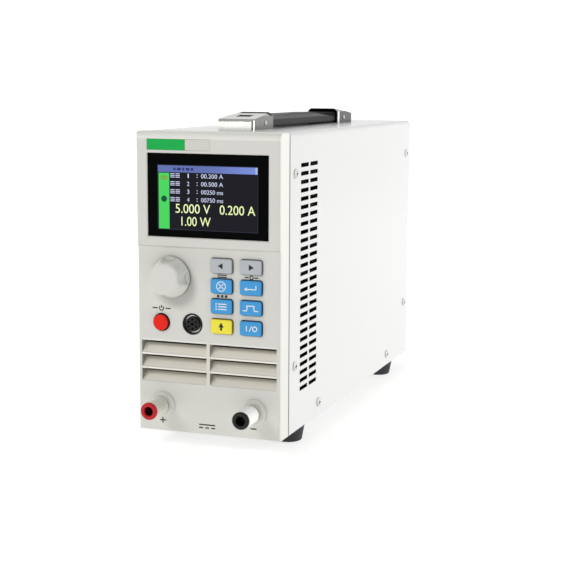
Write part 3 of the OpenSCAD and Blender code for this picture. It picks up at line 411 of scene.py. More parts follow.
def circuit_board(name):
    """Solder mask over copper tracks, with tinned pads."""
    finish = Finish(name)
    tracks = 1 - finish.ramp(finish.cells(230.0, "DISTANCE_TO_EDGE", 0.55), 0.03, 0.06)
    pads = 1 - finish.ramp(finish.cells(310.0, "F1", 0.2), 0.16, 0.2)
    mask = finish.mix(tracks, screen(16, 74, 42), screen(34, 112, 62))
    finish.set("Base Color", finish.mix(pads, mask, screen(186, 188, 186)))
    finish.set("Roughness", 0.38 - pads * 0.1)
    finish.set("Metallic", pads * 0.9)
    finish.relief(tracks + pads, 0.00004)
    return finish


def lit(name, colour, glow, share=1.0):
    """A field of a lit display: rows of fine cells under a clear front."""
    finish = Finish(name, Roughness=0.3, Specular_IOR_Level=0.1, Emission_Strength=glow * share)
    across = finish.waves(900.0, "X")
    down = finish.waves(900.0, "Z")
    cell = finish.ramp(across * down, 0.0, 0.5)
    finish.set("Base Color", finish.mix(cell, shade(colour, 0.1), shade(colour, 0.14)))
    finish.set("Emission Color", finish.mix(cell, shade(colour, 0.88), shade(colour, 1.04)))
    return finish


def ink(name, colour):
    """Screen ink: slightly uneven cover and a dull gloss."""
    finish = Finish(name)
    grain = finish.noise(4200.0)
    finish.set("Base Color", finish.mix(grain, shade(colour, 0.88), shade(colour, 1.08)))
    finish.set("Roughness", grain * 0.2 + 0.4)
    return finish


# New pieces


def make_piece(name, shape, finish):
    """Makes an object of a finished bmesh."""
    mesh = bpy.data.meshes.new(name)
    shape.to_mesh(mesh)
    shape.free()
    mesh.materials.append(finish.material)
    piece = bpy.data.objects.new(name, mesh)
    bpy.context.collection.objects.link(piece)
    return piece


def fix_piece(name, shape, finish, body):
    """Makes a piece and lets it ride on a body."""
    piece = make_piece(name, shape, finish)
    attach(piece, body)


def round_edges(mesh, edges, radius, segments):
    bmesh.ops.bevel(
        mesh, geom=edges, offset=radius, affect="EDGES", segments=segments, profile=0.5, material=-1
    )


class Stencil:
    """Flat shapes of one ink, drawn in millimetres about one point of the front and given a thin body."""

    def __init__(self):
        self.mesh = bmesh.new()

    def bar(self, x, z, width, height, turn=0.0):
        place = Matrix.Translation((x, z, 0)) @ Matrix.Rotation(math.radians(turn), 4, "Z")
        matrix = place @ Matrix.Diagonal((width, height, 1, 1))
        bmesh.ops.create_grid(self.mesh, x_segments=1, y_segments=1, size=0.5, matrix=matrix)

    def disc(self, x, z, radius, sides=32, turn=0.0):
        matrix = Matrix.Translation((x, z, 0)) @ Matrix.Rotation(math.radians(turn), 4, "Z")
        bmesh.ops.create_circle(self.mesh, cap_ends=True, segments=sides, radius=radius, matrix=matrix)

    def ring(self, x, z, radius, width, gap=0.0):
        """A ring, open at its top by an angle."""
        start = math.radians(90 + gap / 2)
        rim = [
            self.mesh.verts.new((x + r * math.cos(start), z + r * math.sin(start), 0))
            for r in (radius - width / 2, radius + width / 2)
        ]
        geom, angle = rim + [self.mesh.edges.new(rim)], math.radians(360 - gap)
        bmesh.ops.spin(
            self.mesh, geom=geom, cent=(x, z, 0), axis=(0, 0, 1), angle=angle, steps=36, use_merge=not gap
        )

    def figures(self, text, left, right, z, height):
        """Figures fitted between two edges at one height."""
        curve = bpy.data.curves.new("figures", "FONT")
        curve.body = text
        holder = bpy.data.objects.new("figures", curve)
        flat = bpy.data.meshes.new_from_object(holder)
        low = Vector(min(v.co[i] for v in flat.vertices) for i in range(3))
        high = Vector(max(v.co[i] for v in flat.vertices) for i in range(3))
        wide = (right - left) / (high.x - low.x)
        tall = height / (high.y - low.y)
        place = Matrix.Translation((left, z - height / 2, 0))
        flat.transform(place @ Matrix.Diagonal((wide, tall, 1, 1)) @ Matrix.Translation(-low))
        self.mesh.from_mesh(flat)
        bpy.data.meshes.remove(flat)
        bpy.data.objects.remove(holder)
        bpy.data.curves.remove(curve)

    def print_on(self, name, at, thickness, finish, body, slot):
        """Gives the shapes their body, places them on the front and lets them ride."""
        bmesh.ops.recalc_face_normals(self.mesh, faces=self.mesh.faces)
        for face in self.mesh.faces:
            if face.normal.z < 0:
                face.normal_flip()
        grown = bmesh.ops.extrude_face_region(self.mesh, geom=self.mesh.faces[:])["geom"]
        tops = [part for part in grown if isinstance(part, bmesh.types.BMVert)]
        bmesh.ops.translate(self.mesh, verts=tops, vec=(0, 0, thickness / MM))
        bmesh.ops.recalc_face_normals(self.mesh, faces=self.mesh.faces)
        place = Matrix.Translation(at) @ Matrix.Rotation(math.pi / 2, 4, "X")
        bmesh.ops.transform(self.mesh, matrix=place @ Matrix.Scale(MM, 4), verts=self.mesh.verts)
        fix_piece(name, self.mesh, finish, body)


# Operators


class LoadStep:
    """What the steps share."""

    bl_options = {"REGISTER", "UNDO"}


class LOAD_OT_case(LoadStep, bpy.types.Operator):
    """Coats the cover and rear panel and finishes the sheet metal, screws and feet"""

    bl_idname = "load.case"
    bl_label = "Case"

    def execute(self, context):
        colours = context.scene.load_case
        self.cover(colours)
        powder_coat("rear_coat", shade(colours.cover, 0.96)).wear("rear_panel")
        zinc = plated("zinc_sheet", screen(172, 174, 176), 0.42, stretch=(0.15, 1.0, 1.0), marks=0.2)
        zinc.wear("base_tray", "heatsink_bracket")
        # The front frame is coated near black; the dark coat also serves as painted shade seen through the
        # seam and louvres.
        coat = moulded("frame_coat", screen(30, 30, 32), 0.6, 900.0, depth=0.00004, edge=0.0002, drift=0.1)
        coat.wear("front_frame")
        plated("screw_steel", screen(226, 226, 224), 0.24, marks=0.1).wear("front_screws", "rear_screws")
        self.screws(colours)
        rubber("foot_rubber", colours.rubber).wear("rubber_feet")
        return {"FINISHED"}

    def cover(self, colours):
        """A cover with painted light towards its foot, a top darkened as painted shade, and painted shade in
        its slots, round them and on its inside.
        """
        coat = powder_coat("cover_coat", colours.cover)
        x, y, z = coat.axes()
        across, _, up = coat.normals()
        foot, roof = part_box("top_cover")
        # Painted light: the coat grows lighter towards the foot of the cover.
        coat.tint(coat.ramp(z, roof.z - 20 * MM, foot.z) * 0.9, shade(colours.cover, 1.13))
        # Painted shade: faces that look up are darkened.
        coat.tint(coat.ramp(up, 0.5, 0.9), shade(colours.cover, 0.84))
        front, rear = (behind(depth) for depth in VENT_DEPTHS)
        bottom, top = (above(height) for height in VENT_HEIGHTS)
        vents = coat.between(z, bottom, top)
        walls = coat.between(y, front, rear) * vents * (abs(across) < 0.7)
        rows = coat.math("PINGPONG", z - above(VENT_TOP), VENT_PITCH * MM / 2)
        columns = abs(abs(y - behind(VENT_MIDDLE)) - VENT_COLUMN * MM / 2)
        rims = (rows < VENT_RIM_HEIGHT * MM / 2) * (columns < VENT_RIM_LENGTH * MM / 2) * vents
        inside = x * across < -20 * MM
        # Painted shade: the slot walls, a margin round each slot, the inside and the underside of the cover
        # are near black.
        coat.tint(coat.either(walls, rims, inside, up < -0.5), screen(13, 13, 14))
        coat.wear("top_cover")

    def screws(self, colours):
        """Screw heads in the cover's paint, with painted shade in the cross recess."""
        heads = plated("case_screw_steel", shade(colours.cover, 0.94), 0.42, marks=0.1)
        across = abs(heads.normals()[0])
        proud = abs(heads.axes()[0]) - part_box("top_cover")[1].x
        floor = heads.between(proud, 0.1 * MM, 0.46 * MM) * (across > 0.9)
        walls = (proud > 0.49 * MM) * (across < 0.3)
        recess = heads.either(floor, walls)
        # Painted shade: the floor and walls of the cross recess are dark and not metallic.
        heads.tint(recess, screen(60, 60, 60))
        heads.set("Metallic", 0.25 - recess * 0.25)
        heads.wear("case_screws")


class LOAD_OT_front(LoadStep, bpy.types.Operator):
    """Finishes the moulded front, its inlays and the window"""

    bl_idname = "load.front"
    bl_label = "Front"

    def execute(self, context):
        colours = context.scene.load_case
        bezel = moulded("bezel_plastic", colours.bezel, 0.5, 2200.0, 0.00004, edge=0.0005, drift=0.012)
        self.louvres(bezel, colours)
        self.edges(bezel, colours)
        bezel.wear("front_bezel")
        badge = moulded(
            "badge_inlay", colours.badge, 0.32, 900.0, 0.00001, 0.0001, 0.04, Specular_IOR_Level=0.2
        )
        badge.wear("green_badge")
        moulded("plate_inlay", colours.plate, 0.4, 1400.0, 0.00001, 0.0001).wear("label_plate")
        self.window(colours)
        return {"FINISHED"}

    def louvres(self, bezel, colours):
        """Painted light towards the foot and on the warm slopes, painted shade where they are deep, painted
        highlights on lips and rib.
        """
        x, y, z = bezel.axes()
        bottom, top = (above(height) for height in LOUVRE_HEIGHTS)
        fade_top, lowest_lip, highest_lip = above(150), above(29.6), above(52.5)
        slope_start, slope_end = behind(0.05), behind(0.9)
        deep_start, deep_end = behind(4.0), behind(6.2)
        # Painted light: the bezel grows lighter towards its foot.
        bezel.tint(bezel.ramp(z, fade_top, bottom), shade(colours.bezel, 1.05))
        field = bezel.between(z, bottom, top) * (abs(x) < LOUVRE_HALF_WIDTH * MM)
        # Painted light on the warm louvre slopes, and painted shade where they run deep.
        bezel.tint(bezel.ramp(y, slope_start, slope_end) * field * 0.75, screen(255, 250, 236))
        bezel.tint(bezel.ramp(y, deep_start, deep_end) * field * 0.6, screen(206, 200, 184))
        # Painted highlights on the louvre lips and the rib.
        lips = field * (z > lowest_lip) * (y < behind(0.1)) * (bezel.facing() > 0.9)
        bezel.tint(lips, shade(colours.bezel, 1.24))
        bezel.tint(lips * (z < highest_lip), screen(255, 253, 241))
        bezel.tint(lips * (abs(x) < RIB_HALF_WIDTH * MM), screen(234, 229, 214))

    def edges(self, bezel, colours):
        """Painted highlight on the brow and right side, painted shade in the crease under the display, at
        louvre ends and seam, and under the knob.
        """
        x, y, z = bezel.axes()
        across, along, _ = bezel.normals()
        facing = 0 - along
        bottom, top = (above(height) for height in LOUVRE_HEIGHTS)
        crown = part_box("front_bezel")[1].z
        # Painted highlight on the brow at the top of the bezel.
        bezel.tint(bezel.ramp(z, crown - 4.6 * MM, crown - 3.8 * MM), shade(colours.bezel, 1.16))
        # Painted shade in the crease under the display.
        crease = bezel.between(z, above(108.7), above(109.3)) * (facing > 0.3)
        bezel.tint(crease * 0.5, shade(colours.bezel, 0.6))
        # Painted light on faces that look right, and painted shade on the right-facing ends of the louvres.
        rightward = bezel.ramp(across, 0.6, 0.9)
        bezel.tint(rightward, shade(colours.bezel, 1.1))
        within = abs(x) < (LOUVRE_HALF_WIDTH + 0.9) * MM
        ends = bezel.between(z, bottom, top) * within * (y > behind(0.05))
        bezel.tint(rightward * ends, shade(colours.bezel, 0.46))
        # Painted shade along the seam with the cover.
        seam = bezel.ramp(y, behind(13.2), behind(13.9)) * (abs(along) < 0.5)
        bezel.tint(seam * 0.9, shade(colours.bezel, 0.12))
        # Painted shadow of the knob, below and right of it on the panel.
        low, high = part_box("control_knob")
        reach = (high.x - low.x) / 2
        away = bezel.radius((low + high) / 2 + Vector((2.0, 0, -4.5)) * MM)
        under = 1 - bezel.ramp(away, reach - 2 * MM, reach + 4 * MM)
        bezel.tint(under * (facing > 0.5) * 0.55, shade(colours.bezel, 0.5))

    def window(self, colours):
        acrylic = Finish("window_acrylic", Specular_IOR_Level=0.02)
        smear = acrylic.noise(45.0, 4.0, (1.0, 1.0, 0.4), 0.65)
        acrylic.set("Base Color", acrylic.mix(smear, shade(colours.window, 0.7), shade(colours.window, 1.5)))
        acrylic.set("Roughness", smear * 0.1 + 0.04)
        acrylic.relief(smear, 0.00001, 0.0002)
        acrylic.wear("display_window")


class LOAD_OT_keys(LoadStep, bpy.types.Operator):
    """Colours the eight keys"""

    bl_idname = "load.keys"
    bl_label = "Keys"

    def execute(self, context):
        colours = context.scene.load_controls
        # The second colour of each key is the painted shade on its sides.
        blue = key_plastic("blue_key_cap", colours.blue_key, screen(28, 84, 128))
        blue.wear("key_escape", "key_enter", "key_mode", "key_pulse", "key_output")
        grey = key_plastic("grey_key_cap", colours.grey_key, screen(132, 136, 140))
        grey.wear("key_left", "key_right")
        key_plastic("yellow_key_cap", colours.yellow_key, screen(150, 132, 20)).wear("key_shift")
        return {"FINISHED"}


class LOAD_OT_controls(LoadStep, bpy.types.Operator):
    """Finishes the knob, the power button and the sense socket"""

    bl_idname = "load.controls"
    bl_label = "Knob, button and socket"

    def execute(self, context):
        case, colours = context.scene.load_case, context.scene.load_controls
        # Painted light: the knob's sides are lighter than its face.
        knob = moulded("knob_plastic", shade(case.bezel, 1.13), 0.38, depth=0.00002, edge=0.0022, drift=0.015)
        knob.tint(knob.ramp(knob.facing(), 0.8, 0.95), shade(case.bezel, 1.02))
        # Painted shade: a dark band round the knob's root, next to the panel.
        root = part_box("control_knob")[1].y
        knob.tint(knob.ramp(knob.axes()[1], root - 1.2 * MM, root - 0.6 * MM), shade(case.bezel, 0.22))
        knob.wear("control_knob")
        # The button's sides take painted shade, a dark copy of its red.
        key_plastic("button_plastic", colours.power, shade(colours.power, 0.16)).wear("power_button")
        black = screen(16, 16, 17)
        socket = moulded("socket_plastic", black, 0.4, edge=0.0002, drift=0.2, Specular_IOR_Level=0.3)
        socket.wear("sense_socket")
        plated("bright_nickel", screen(206, 204, 198)).wear("encoder_shaft", "inlet_pins")
        plated("shell_nickel", screen(226, 225, 226), 0.3).wear("sense_shell")
        plated("encoder_zinc", screen(176, 176, 178), 0.4, stretch=(1.0, 0.2, 1.0)).wear("encoder_body")
        return {"FINISHED"}


class LOAD_OT_terminals(LoadStep, bpy.types.Operator):
    """Finishes the two binding posts"""

    bl_idname = "load.terminals"
    bl_label = "Binding posts"

    def execute(self, context):
        case, colours = context.scene.load_case, context.scene.load_controls
        nickel = screen(204, 200, 190)
        foot = moulded("terminal_foot", shade(case.bezel, 1.03), 0.42, depth=0.00002, drift=0.015)
        foot.wear("terminal_bases")
        for side, sleeve, end in (
            ("plus", colours.plus_sleeve, colours.plus_end),
            ("minus", colours.minus_sleeve, colours.minus_end),
        ):
            barrel = moulded(side + "_sleeve", sleeve, 0.4, depth=0.00002)
            # Painted shade: the bore of each thumb nut is near black.
            barrel.tint(barrel.radius(middle(side + "_nut")) < 3.4 * MM, screen(16, 15, 15))
            barrel.wear(side + "_nut")
            tip = side + "_end_plastic"
            ring = moulded(tip, end, 0.28, depth=0.00001, drift=0.06, Specular_IOR_Level=0.3)
            ring.wear(side + "_ring")
            stud = plated(side + "_post_nickel", nickel, 0.24, stretch=(1.0, 8.0, 1.0))
            # The first 4 mm of the stud's bore take a dark copy of the end's colour and no metal: a plastic
            # liner, darkened as painted shade in the hole.
            shaded_liner = stud.axes()[1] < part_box(side + "_stud")[0].y + 4 * MM
            stud.tint(shaded_liner, shade(end, 0.2))
            stud.set("Metallic", 1 - shaded_liner)
            stud.wear(side + "_stud")
        plated("washer_nickel", nickel, 0.24).wear("plus_washer", "minus_washer", "terminal_nuts")
        return {"FINISHED"}


class LOAD_OT_handle(LoadStep, bpy.types.Operator):
    """Finishes the strap and its plated caps"""

    bl_idname = "load.handle"
    bl_label = "Handle"

    def execute(self, context):
        colours = context.scene.load_case
        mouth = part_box("rear_handle_cap")[0].y
        self.caps(colours.chrome, mouth)
        plated("pin_steel", screen(190, 190, 188), 0.25).wear("handle_pins")
        self.strap(colours.strap, mouth)
        return {"FINISHED"}

    def caps(self, colour, mouth):
        """Chrome with painted reflections: a glowing nose, darker sides and tops, light and dark edge lines,
        and painted shade in mouths, slot and hollows.
        """
        chrome = plated("cap_chrome", colour, 0.14, marks=0.06, edge=0.0004)
        # Painted reflection: a faint glow, given only to the nose of the front cap.
        chrome.set("Emission Strength", 0.2)
        across, along, up = chrome.normals()
        x, y, _ = chrome.axes()
        low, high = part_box("front_handle_cap")
        front, rear = y < 0, y > 0
        inward = front * (y - high.y) + rear * (mouth - y)
        face = chrome.ramp(0 - along, 0.5, 0.9)
        side = chrome.ramp(abs(across), 0.5, 0.9)
        top = chrome.ramp(up, 0.4, 0.9)
        # Painted reflections: darker sides, with light strips near their front edges.
        chrome.tint(side, chrome.mix(rear, shade(colour, 0.17), shade(colour, 0.012)))
        chrome.tint(side * front * (y < low.y + 1.6 * MM), colour)
        chrome.tint(side * rear * (y < mouth + 3.6 * MM), colour)
        # Painted reflection: a dark line at the right corner of the front face.
        corner = face * front * chrome.between(x, high.x - 1.2 * MM, high.x - 0.3 * MM)
        chrome.tint(corner, screen(14, 14, 14))
        nose = chrome.ramp(0 - along, 0.3, 0.6) * (y < low.y + 4 * MM)
        chrome.set("Emission Color", chrome.mix(nose - corner, screen(0, 0, 0), colour))
        # Painted reflection: the tops darken towards the strap.
        fade = chrome.ramp(inward, -30 * MM, 0.0)
        chrome.tint(top, chrome.mix(fade, shade(colour, 0.24), shade(colour, 0.1)))
        # Painted shade: the rear cap's mouth and top rim are near black.
        rim = chrome.either(face * (abs(x) < high.x - 1.1 * MM), top * (inward > -3 * MM))
        chrome.tint(rear * rim, screen(16, 16, 16))
        # Painted shade: the slot, the rear edge of the front cap's top, the insides and the undersides are
        # black, rough and not metallic.
        slot = face * (abs(x) < 4.7 * MM) * chrome.between(y, low.y + 8 * MM, high.y - 4 * MM)
        brink = top * front * (inward > -6 * MM)
        hollow = chrome.either(x * across < -4 * MM, up < -0.3, slot, brink)
        chrome.tint(hollow, screen(10, 10, 10))
        chrome.set("Metallic", 1 - hollow)
        chrome.set("Roughness", chrome.link("Roughness") + hollow * 0.7)
        chrome.wear("front_handle_cap", "rear_handle_cap")

    def strap(self, colour, mouth):
        """Rubber with a painted highlight on its top and crest, and painted shade near the rear cap."""
        band = rubber("strap_rubber", colour, 0.26)
        _, y, z = band.axes()
        up = band.normals()[2]
        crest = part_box("handle_strap")[1].z
        shade_start, shade_end = mouth - 60 * MM, mouth - 4 * MM
        # Painted highlights: lighter upward faces and a light band just under the crest.
        band.tint(band.ramp(up, 0.3, 0.8), shade(colour, 4.2))
        band.tint(band.between(z, crest - 2.8 * MM, crest - 0.8 * MM) * 0.8, shade(colour, 7.0))
        # Painted shade near the rear cap: the strap darkens into its mouth, the top over a long reach and the
        # upper sides nearer the cap.
        band.tint(band.ramp(y, mouth - 12 * MM, mouth - 3 * MM), screen(9, 9, 9))
        wedge = z - crest + band.ramp(y, shade_start, mouth) * (3.8 * MM)
        sides = band.ramp(wedge, 0.2 * MM, 0.8 * MM) * band.ramp(up, 0.9, 0.6)
        dark = band.either(sides, band.ramp(up, 0.6, 0.9) * band.ramp(y, shade_start, shade_end))
        band.tint(dark, screen(6, 6, 6))
        band.set("Roughness", band.link("Roughness") + dark * 0.5)
        band.wear("handle_strap")


class LOAD_OT_rear(LoadStep, bpy.types.Operator):
    """Finishes the fan, its guard, the mains inlet and the serial port"""

    bl_idname = "load.rear"
    bl_label = "Fan and sockets"

    def execute(self, context):
        moulded("fan_plastic", screen(26, 26, 28), 0.46, 1500.0, drift=0.2).wear("fan_frame", "fan_rotor")
        plated("guard_chrome", screen(210, 209, 205), 0.18).wear("fan_guard")
        inlet = moulded("inlet_plastic", screen(22, 22, 24), 0.4, 1900.0, depth=0.00004, drift=0.2)
        inlet.wear("mains_inlet", "fuse_drawer")
        self.port()
        plated("jackscrew_zinc", screen(200, 198, 190), 0.24).wear("serial_jackscrews")
        return {"FINISHED"}

    def port(self):
        """A plated shell round the dark face of the serial port."""
        port = plated("port_shell", screen(196, 195, 190), 0.26)
        x, _, z = port.axes()
        at = middle("serial_port")
        across, up = abs(x - at.x), abs(z - at.z)
        outline = port.ramp(across + up * 0.22, 8.2 * MM, 7.8 * MM)
        inside = outline * (up < 3.6 * MM) * (port.facing() < -0.8)
        port.set("Metallic", 1 - inside)
        port.tint(inside, screen(24, 26, 32))
        port.wear("serial_port")


class LOAD_OT_inside(LoadStep, bpy.types.Operator):
    """Finishes what lies behind the louvres and slots"""

    bl_idname = "load.inside"
    bl_label = "Inner works"

    def execute(self, context):
        circuit_board("board_mask").wear("front_board", "main_board", "power_board")
        housing = moulded("panel_plastic", screen(46, 48, 52), 0.5, 1500.0, edge=0.0002, drift=0.15)
        housing.wear("panel_switches", "lcd_module", "transistors")
        plated("bus_copper", screen(196, 118, 72), 0.32, stretch=(1.0, 0.2, 1.0)).wear("busbars")
        plated("standoff_brass", screen(214, 180, 108), 0.3).wear("board_standoffs")
        fins = plated("sink_aluminium", screen(188, 190, 192), 0.42, stretch=(1.0, 0.06, 1.0), marks=0.24)
        fins.wear("heatsink")
        self.transformer()
        self.wires()
        return {"FINISHED"}

    def transformer(self):
        """A core of thin sheets with a taped coil at each end."""
        core = Finish("transformer_core")
        low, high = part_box("transformer")
        half = (high.y - low.y) / 2
        sheets = core.waves(520.0, "Y")
        steel = core.mix(sheets, screen(70, 72, 76), screen(150, 152, 156))
        tape = core.mix(core.noise(90.0, detail=3.0), screen(196, 150, 40), screen(226, 186, 84))
        off_middle = abs(core.axes()[1] - (low.y + high.y) / 2)
        coil = core.ramp(off_middle, half - 7.5 * MM, half - 6.5 * MM)
        core.set("Base Color", core.mix(coil, steel, tape))
        core.set("Roughness", sheets * 0.2 + 0.35)
        core.set("Metallic", 0.8 - coil * 0.8)
        core.relief(sheets, 0.00005)
        core.wear("transformer")

    def wires(self):
        """A ribbed grey ribbon in front, blue and brown mains wires behind."""
        wire = Finish("wire_sleeve")
        x, y, _ = wire.axes()
        ribs = wire.waves(390.0, "X")
        mains = wire.mix(wire.ramp(x, 3 * MM, 3.5 * MM), screen(30, 70, 150), screen(118, 64, 30))
        ribbon = wire.mix(ribs, screen(150, 152, 156), screen(206, 207, 210))
        wire.set("Base Color", wire.mix(wire.ramp(y, 0.0, 10 * MM), ribbon, mains))
        wire.set("Roughness", ribs * 0.1 + 0.42)
        wire.relief(ribs, 0.0001)
        wire.wear("wiring")


class LOAD_OT_shade_screen(LoadStep, bpy.types.Operator):
    """Sets a dark woven screen between the louvres and the front frame, as painted shade behind the louvre
    gaps
    """

    bl_idname = "load.dust_screen"
    bl_label = "Shade screen"

    def execute(self, context):
        # Painted shade: a near-black sheet that closes the view through the louvre gaps.
        low, high = panel_point(-39.5, 12.3, 24.6), panel_point(39.5, 14.45, 56.2)
        mesh = bmesh.new()
        matrix = Matrix.Translation((low + high) / 2) @ Matrix.Diagonal((*(high - low), 1))
        bmesh.ops.create_cube(mesh, size=1.0, matrix=matrix)
        round_edges(mesh, mesh.edges[:], 0.4 * MM, 2)
        weave = Finish("shade_screen_weave", Specular_IOR_Level=0.2)
        threads = weave.either(weave.waves(420.0, "X"), weave.waves(420.0, "Z"))
        weave.set("Base Color", weave.mix(threads, screen(8, 8, 8), screen(34, 34, 36)))
        weave.set("Roughness", 0.75 - threads * 0.2)
        weave.relief(threads, 0.0002)
        fix_piece("dust_screen", mesh, weave, "case")
        return {"FINISHED"}


class LOAD_OT_display(LoadStep, bpy.types.Operator):
    """Lights the display: its ground, bars, small figures and readings"""

    bl_idname = "load.display"
    bl_label = "Display"

    def execute(self, context):
        look, ink_depth = context.scene.load_display, context.scene.load_marks.thickness
        low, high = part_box("display_window")
        at = Vector((0, low.y, (low.z + high.z) / 2 - look.drop))
        wide, tall = look.width / MM, look.height / MM
        left, top = -wide / 2, tall / 2
        bar_z, side_x, line = top - 2.1, left + 3.9, 0.35

        def layer(name, stencil, colour, level, share=1.0):
            finish = lit(name, colour, look.glow, share)
            stencil.print_on(name, at, ink_depth * (1 + 0.5 * level), finish, "case", "lcd")
            return finish

        ground = Stencil()
        ground.bar(0, 0, wide, tall)
        layer("display_ground", ground, look.field, 0, 0.7)
        border = Stencil()
        for side in (-1, 1):
            border.bar(side * wide / 2, 0, line, tall + line)
            border.bar(0, side * tall / 2, wide + line, line)
        layer("display_border", border, screen(62, 66, 86), 1, 0.5)
        bar = Stencil()
        bar.bar(0, bar_z, wide - 0.4, 3.8)
        glow = layer("display_bar", bar, look.bar, 1)
        x = glow.axes()[0]
        glow.tint(glow.ramp(x, 32 * MM, -4 * MM) * 0.9, shade(look.bar, 0.5), "Emission Color")
        glow.tint(glow.ramp(x, 28.5 * MM, 29.7 * MM), screen(172, 188, 232), "Emission Color")
        caption = Stencil()
        for i, width in enumerate((1.4, 2.4, 1.2, 2.2, 1.6)):
            caption.bar(left + 10.5 + i * 2.7, bar_z, width, 1.5)
        layer("display_caption", caption, screen(46, 56, 120), 2)
        side_bar = Stencil()
        side_bar.bar(side_x, -2.1, 6.6, 31.8)
        layer("display_side", side_bar, look.side, 1)
        glyphs = Stencil()
        for x in (-0.95, 0.95):
            glyphs.ring(side_x + x, top - 7.2, 0.95, 0.42)
        layer("display_glyphs", glyphs, screen(150, 122, 30), 2)
        dot = Stencil()
        dot.disc(side_x, top - 19.2, 1.8)
        layer("display_dot", dot, screen(16, 84, 52), 2)
        layer("display_rows", self.rows(left, top - 5.8), look.rows, 2, 1.1)
        readings = Stencil()
        for text, start, end, z in (
            (look.first, 11.0, 32.3, top - 24.4),
            (look.second, 38.1, 59.5, top - 24.4),
            (look.third, 14.6, 32.6, top - 31.6),
        ):
            readings.figures(text, left + start, left + end, z, 5.2)
        layer("display_readings", readings, look.readings, 2, 1.15)
        return {"FINISHED"}

    def rows(self, left, first_z):
        """Four rows of two barred signs, a number, a colon and a setting."""
        pitch, height, stroke = 4.5, 2.4, 0.42
        rows = Stencil()
        for i, text in enumerate(("00.200 A", "00.500 A", "00250 ms", "00750 ms")):
            z = first_z - pitch * i
            for x in (9.2, 12.4):
                for rise in (0, 0.95, -0.95):
                    rows.bar(left + x, z + rise, 2.6, stroke)
            start, end = (18.2, 19.6) if i else (18.6, 19.3)
            rows.figures(str(i + 1), left + start, left + end, z, height)
            for rise in (-0.7, 0.7):
                rows.disc(left + 24.4, z + rise, 0.28, 12)
            rows.figures(text, left + 26.8, left + 40.2, z, height)
        return rows


class LOAD_OT_key_marks(LoadStep, bpy.types.Operator):
    """Prints a plain sign on each key"""

    bl_idname = "load.key_marks"
    bl_label = "Key signs"

    def execute(self, context):
        look = context.scene.load_marks
        light, dark = ink("light_ink", look.light), ink("dark_ink", look.dark)
        for key in ("left", "right", "escape", "enter", "mode", "pulse", "shift", "output"):
            pale_key = key in ("left", "right", "shift")
            finish, slot = (dark, "socket") if pale_key else (light, "minus_sleeve")
            low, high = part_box("key_" + key)
            at = ((low.x + high.x) / 2, low.y, (low.z + high.z) / 2)
            stencil = Stencil()
            getattr(self, key)(stencil)
            stencil.print_on("sign_" + key, at, look.thickness, finish, "key_" + key + "_body", slot)
        return {"FINISHED"}

    def left(self, stencil):
        stencil.disc(0, 0, 2.0, 3, 90)

    def right(self, stencil):
        stencil.disc(0, 0, 2.0, 3, -90)

    def escape(self, stencil):
        for turn in (45, -45):
            stencil.bar(0, 0, 4.0, 0.6, turn)
        stencil.ring(0, 0, 2.7, 0.5)

    def enter(self, stencil):
        stencil.bar(0.6, -0.7, 6.0, 0.6)
        stencil.bar(3.3, 0.4, 0.6, 2.2)
        stencil.disc(-2.7, -0.7, 1.3, 3, 90)

    def mode(self, stencil):
        for z in (-1.5, 0, 1.5):
            stencil.bar(0.8, z, 5.2, 0.6)
            stencil.disc(-3.0, z, 0.45, 16)

    def pulse(self, stencil):
        for x, z, width in ((-3.4, -1.4, 2.6), (3.4, -1.4, 2.6), (0, 1.4, 4.8)):
            stencil.bar(x, z, width, 0.6)
        for x in (-2.1, 2.1):
            stencil.bar(x, 0, 0.6, 2.2)

    def shift(self, stencil):
        stencil.disc(0, 0.6, 1.9, 3, 0)
        stencil.bar(0, -1.2, 1.2, 1.8)

    def output(self, stencil):
        stencil.bar(-2.4, 0, 0.6, 3.0)
        stencil.bar(0, 0, 0.5, 3.6, -24)
        stencil.ring(2.6, 0, 1.3, 0.6)


class LOAD_OT_panel_marks(LoadStep, bpy.types.Operator):
    """Prints the plain signs of the panel: power, input, polarity and the key legends"""

    bl_idname = "load.panel_marks"
    bl_label = "Panel signs"

    def execute(self, context):
        look = context.scene.load_marks
        dark = ink("panel_ink", look.dark)
        for name, x, z in (
            ("power", -29.1, 72.9),
            ("plus", -28.9, 6.5),
            ("minus", 27.9, 6.3),
            ("input", -0.8, 5.1),
            ("lines", 8.75, 93.5),
            ("target", 26.6, 93.5),
            ("squares", 8.75, 81.9),
        ):
            stencil = Stencil()
            getattr(self, name)(stencil)
            at = panel_point(x, 0, z)
            stencil.print_on("sign_" + name, at, look.thickness, dark, "case", "socket")
        return {"FINISHED"}

    def power(self, stencil):
        stencil.ring(0, 0, 1.3, 0.62, 80)
        stencil.bar(0, 0.95, 0.62, 1.7)
        for side in (-1, 1):
            stencil.bar(side * 4.1, 0, 3.2, 0.7)

    def plus(self, stencil):
        stencil.bar(0, 0, 3.6, 0.7)
        for side in (1, -1):
            stencil.bar(0, side * 1.075, 0.7, 1.45)

    def minus(self, stencil):
        stencil.bar(0, 0, 3.6, 0.75)

    def input(self, stencil):
        stencil.bar(0, 0.9, 10.0, 0.75)
        for x in (-3.8, 0, 3.8):
            stencil.bar(x, -0.9, 2.4, 0.75)

    def lines(self, stencil):
        for z in (-0.6, 0.6):
            stencil.bar(0, z, 5.6, 0.65)

    def target(self, stencil):
        stencil.ring(0, 0, 1.0, 0.6)
        for side in (-1, 1):
            stencil.bar(side * 2.9, 0, 2.4, 0.65)

    def squares(self, stencil):
        for x in (-2.4, 0, 2.4):
            stencil.bar(x, 0, 1.5, 1.5)


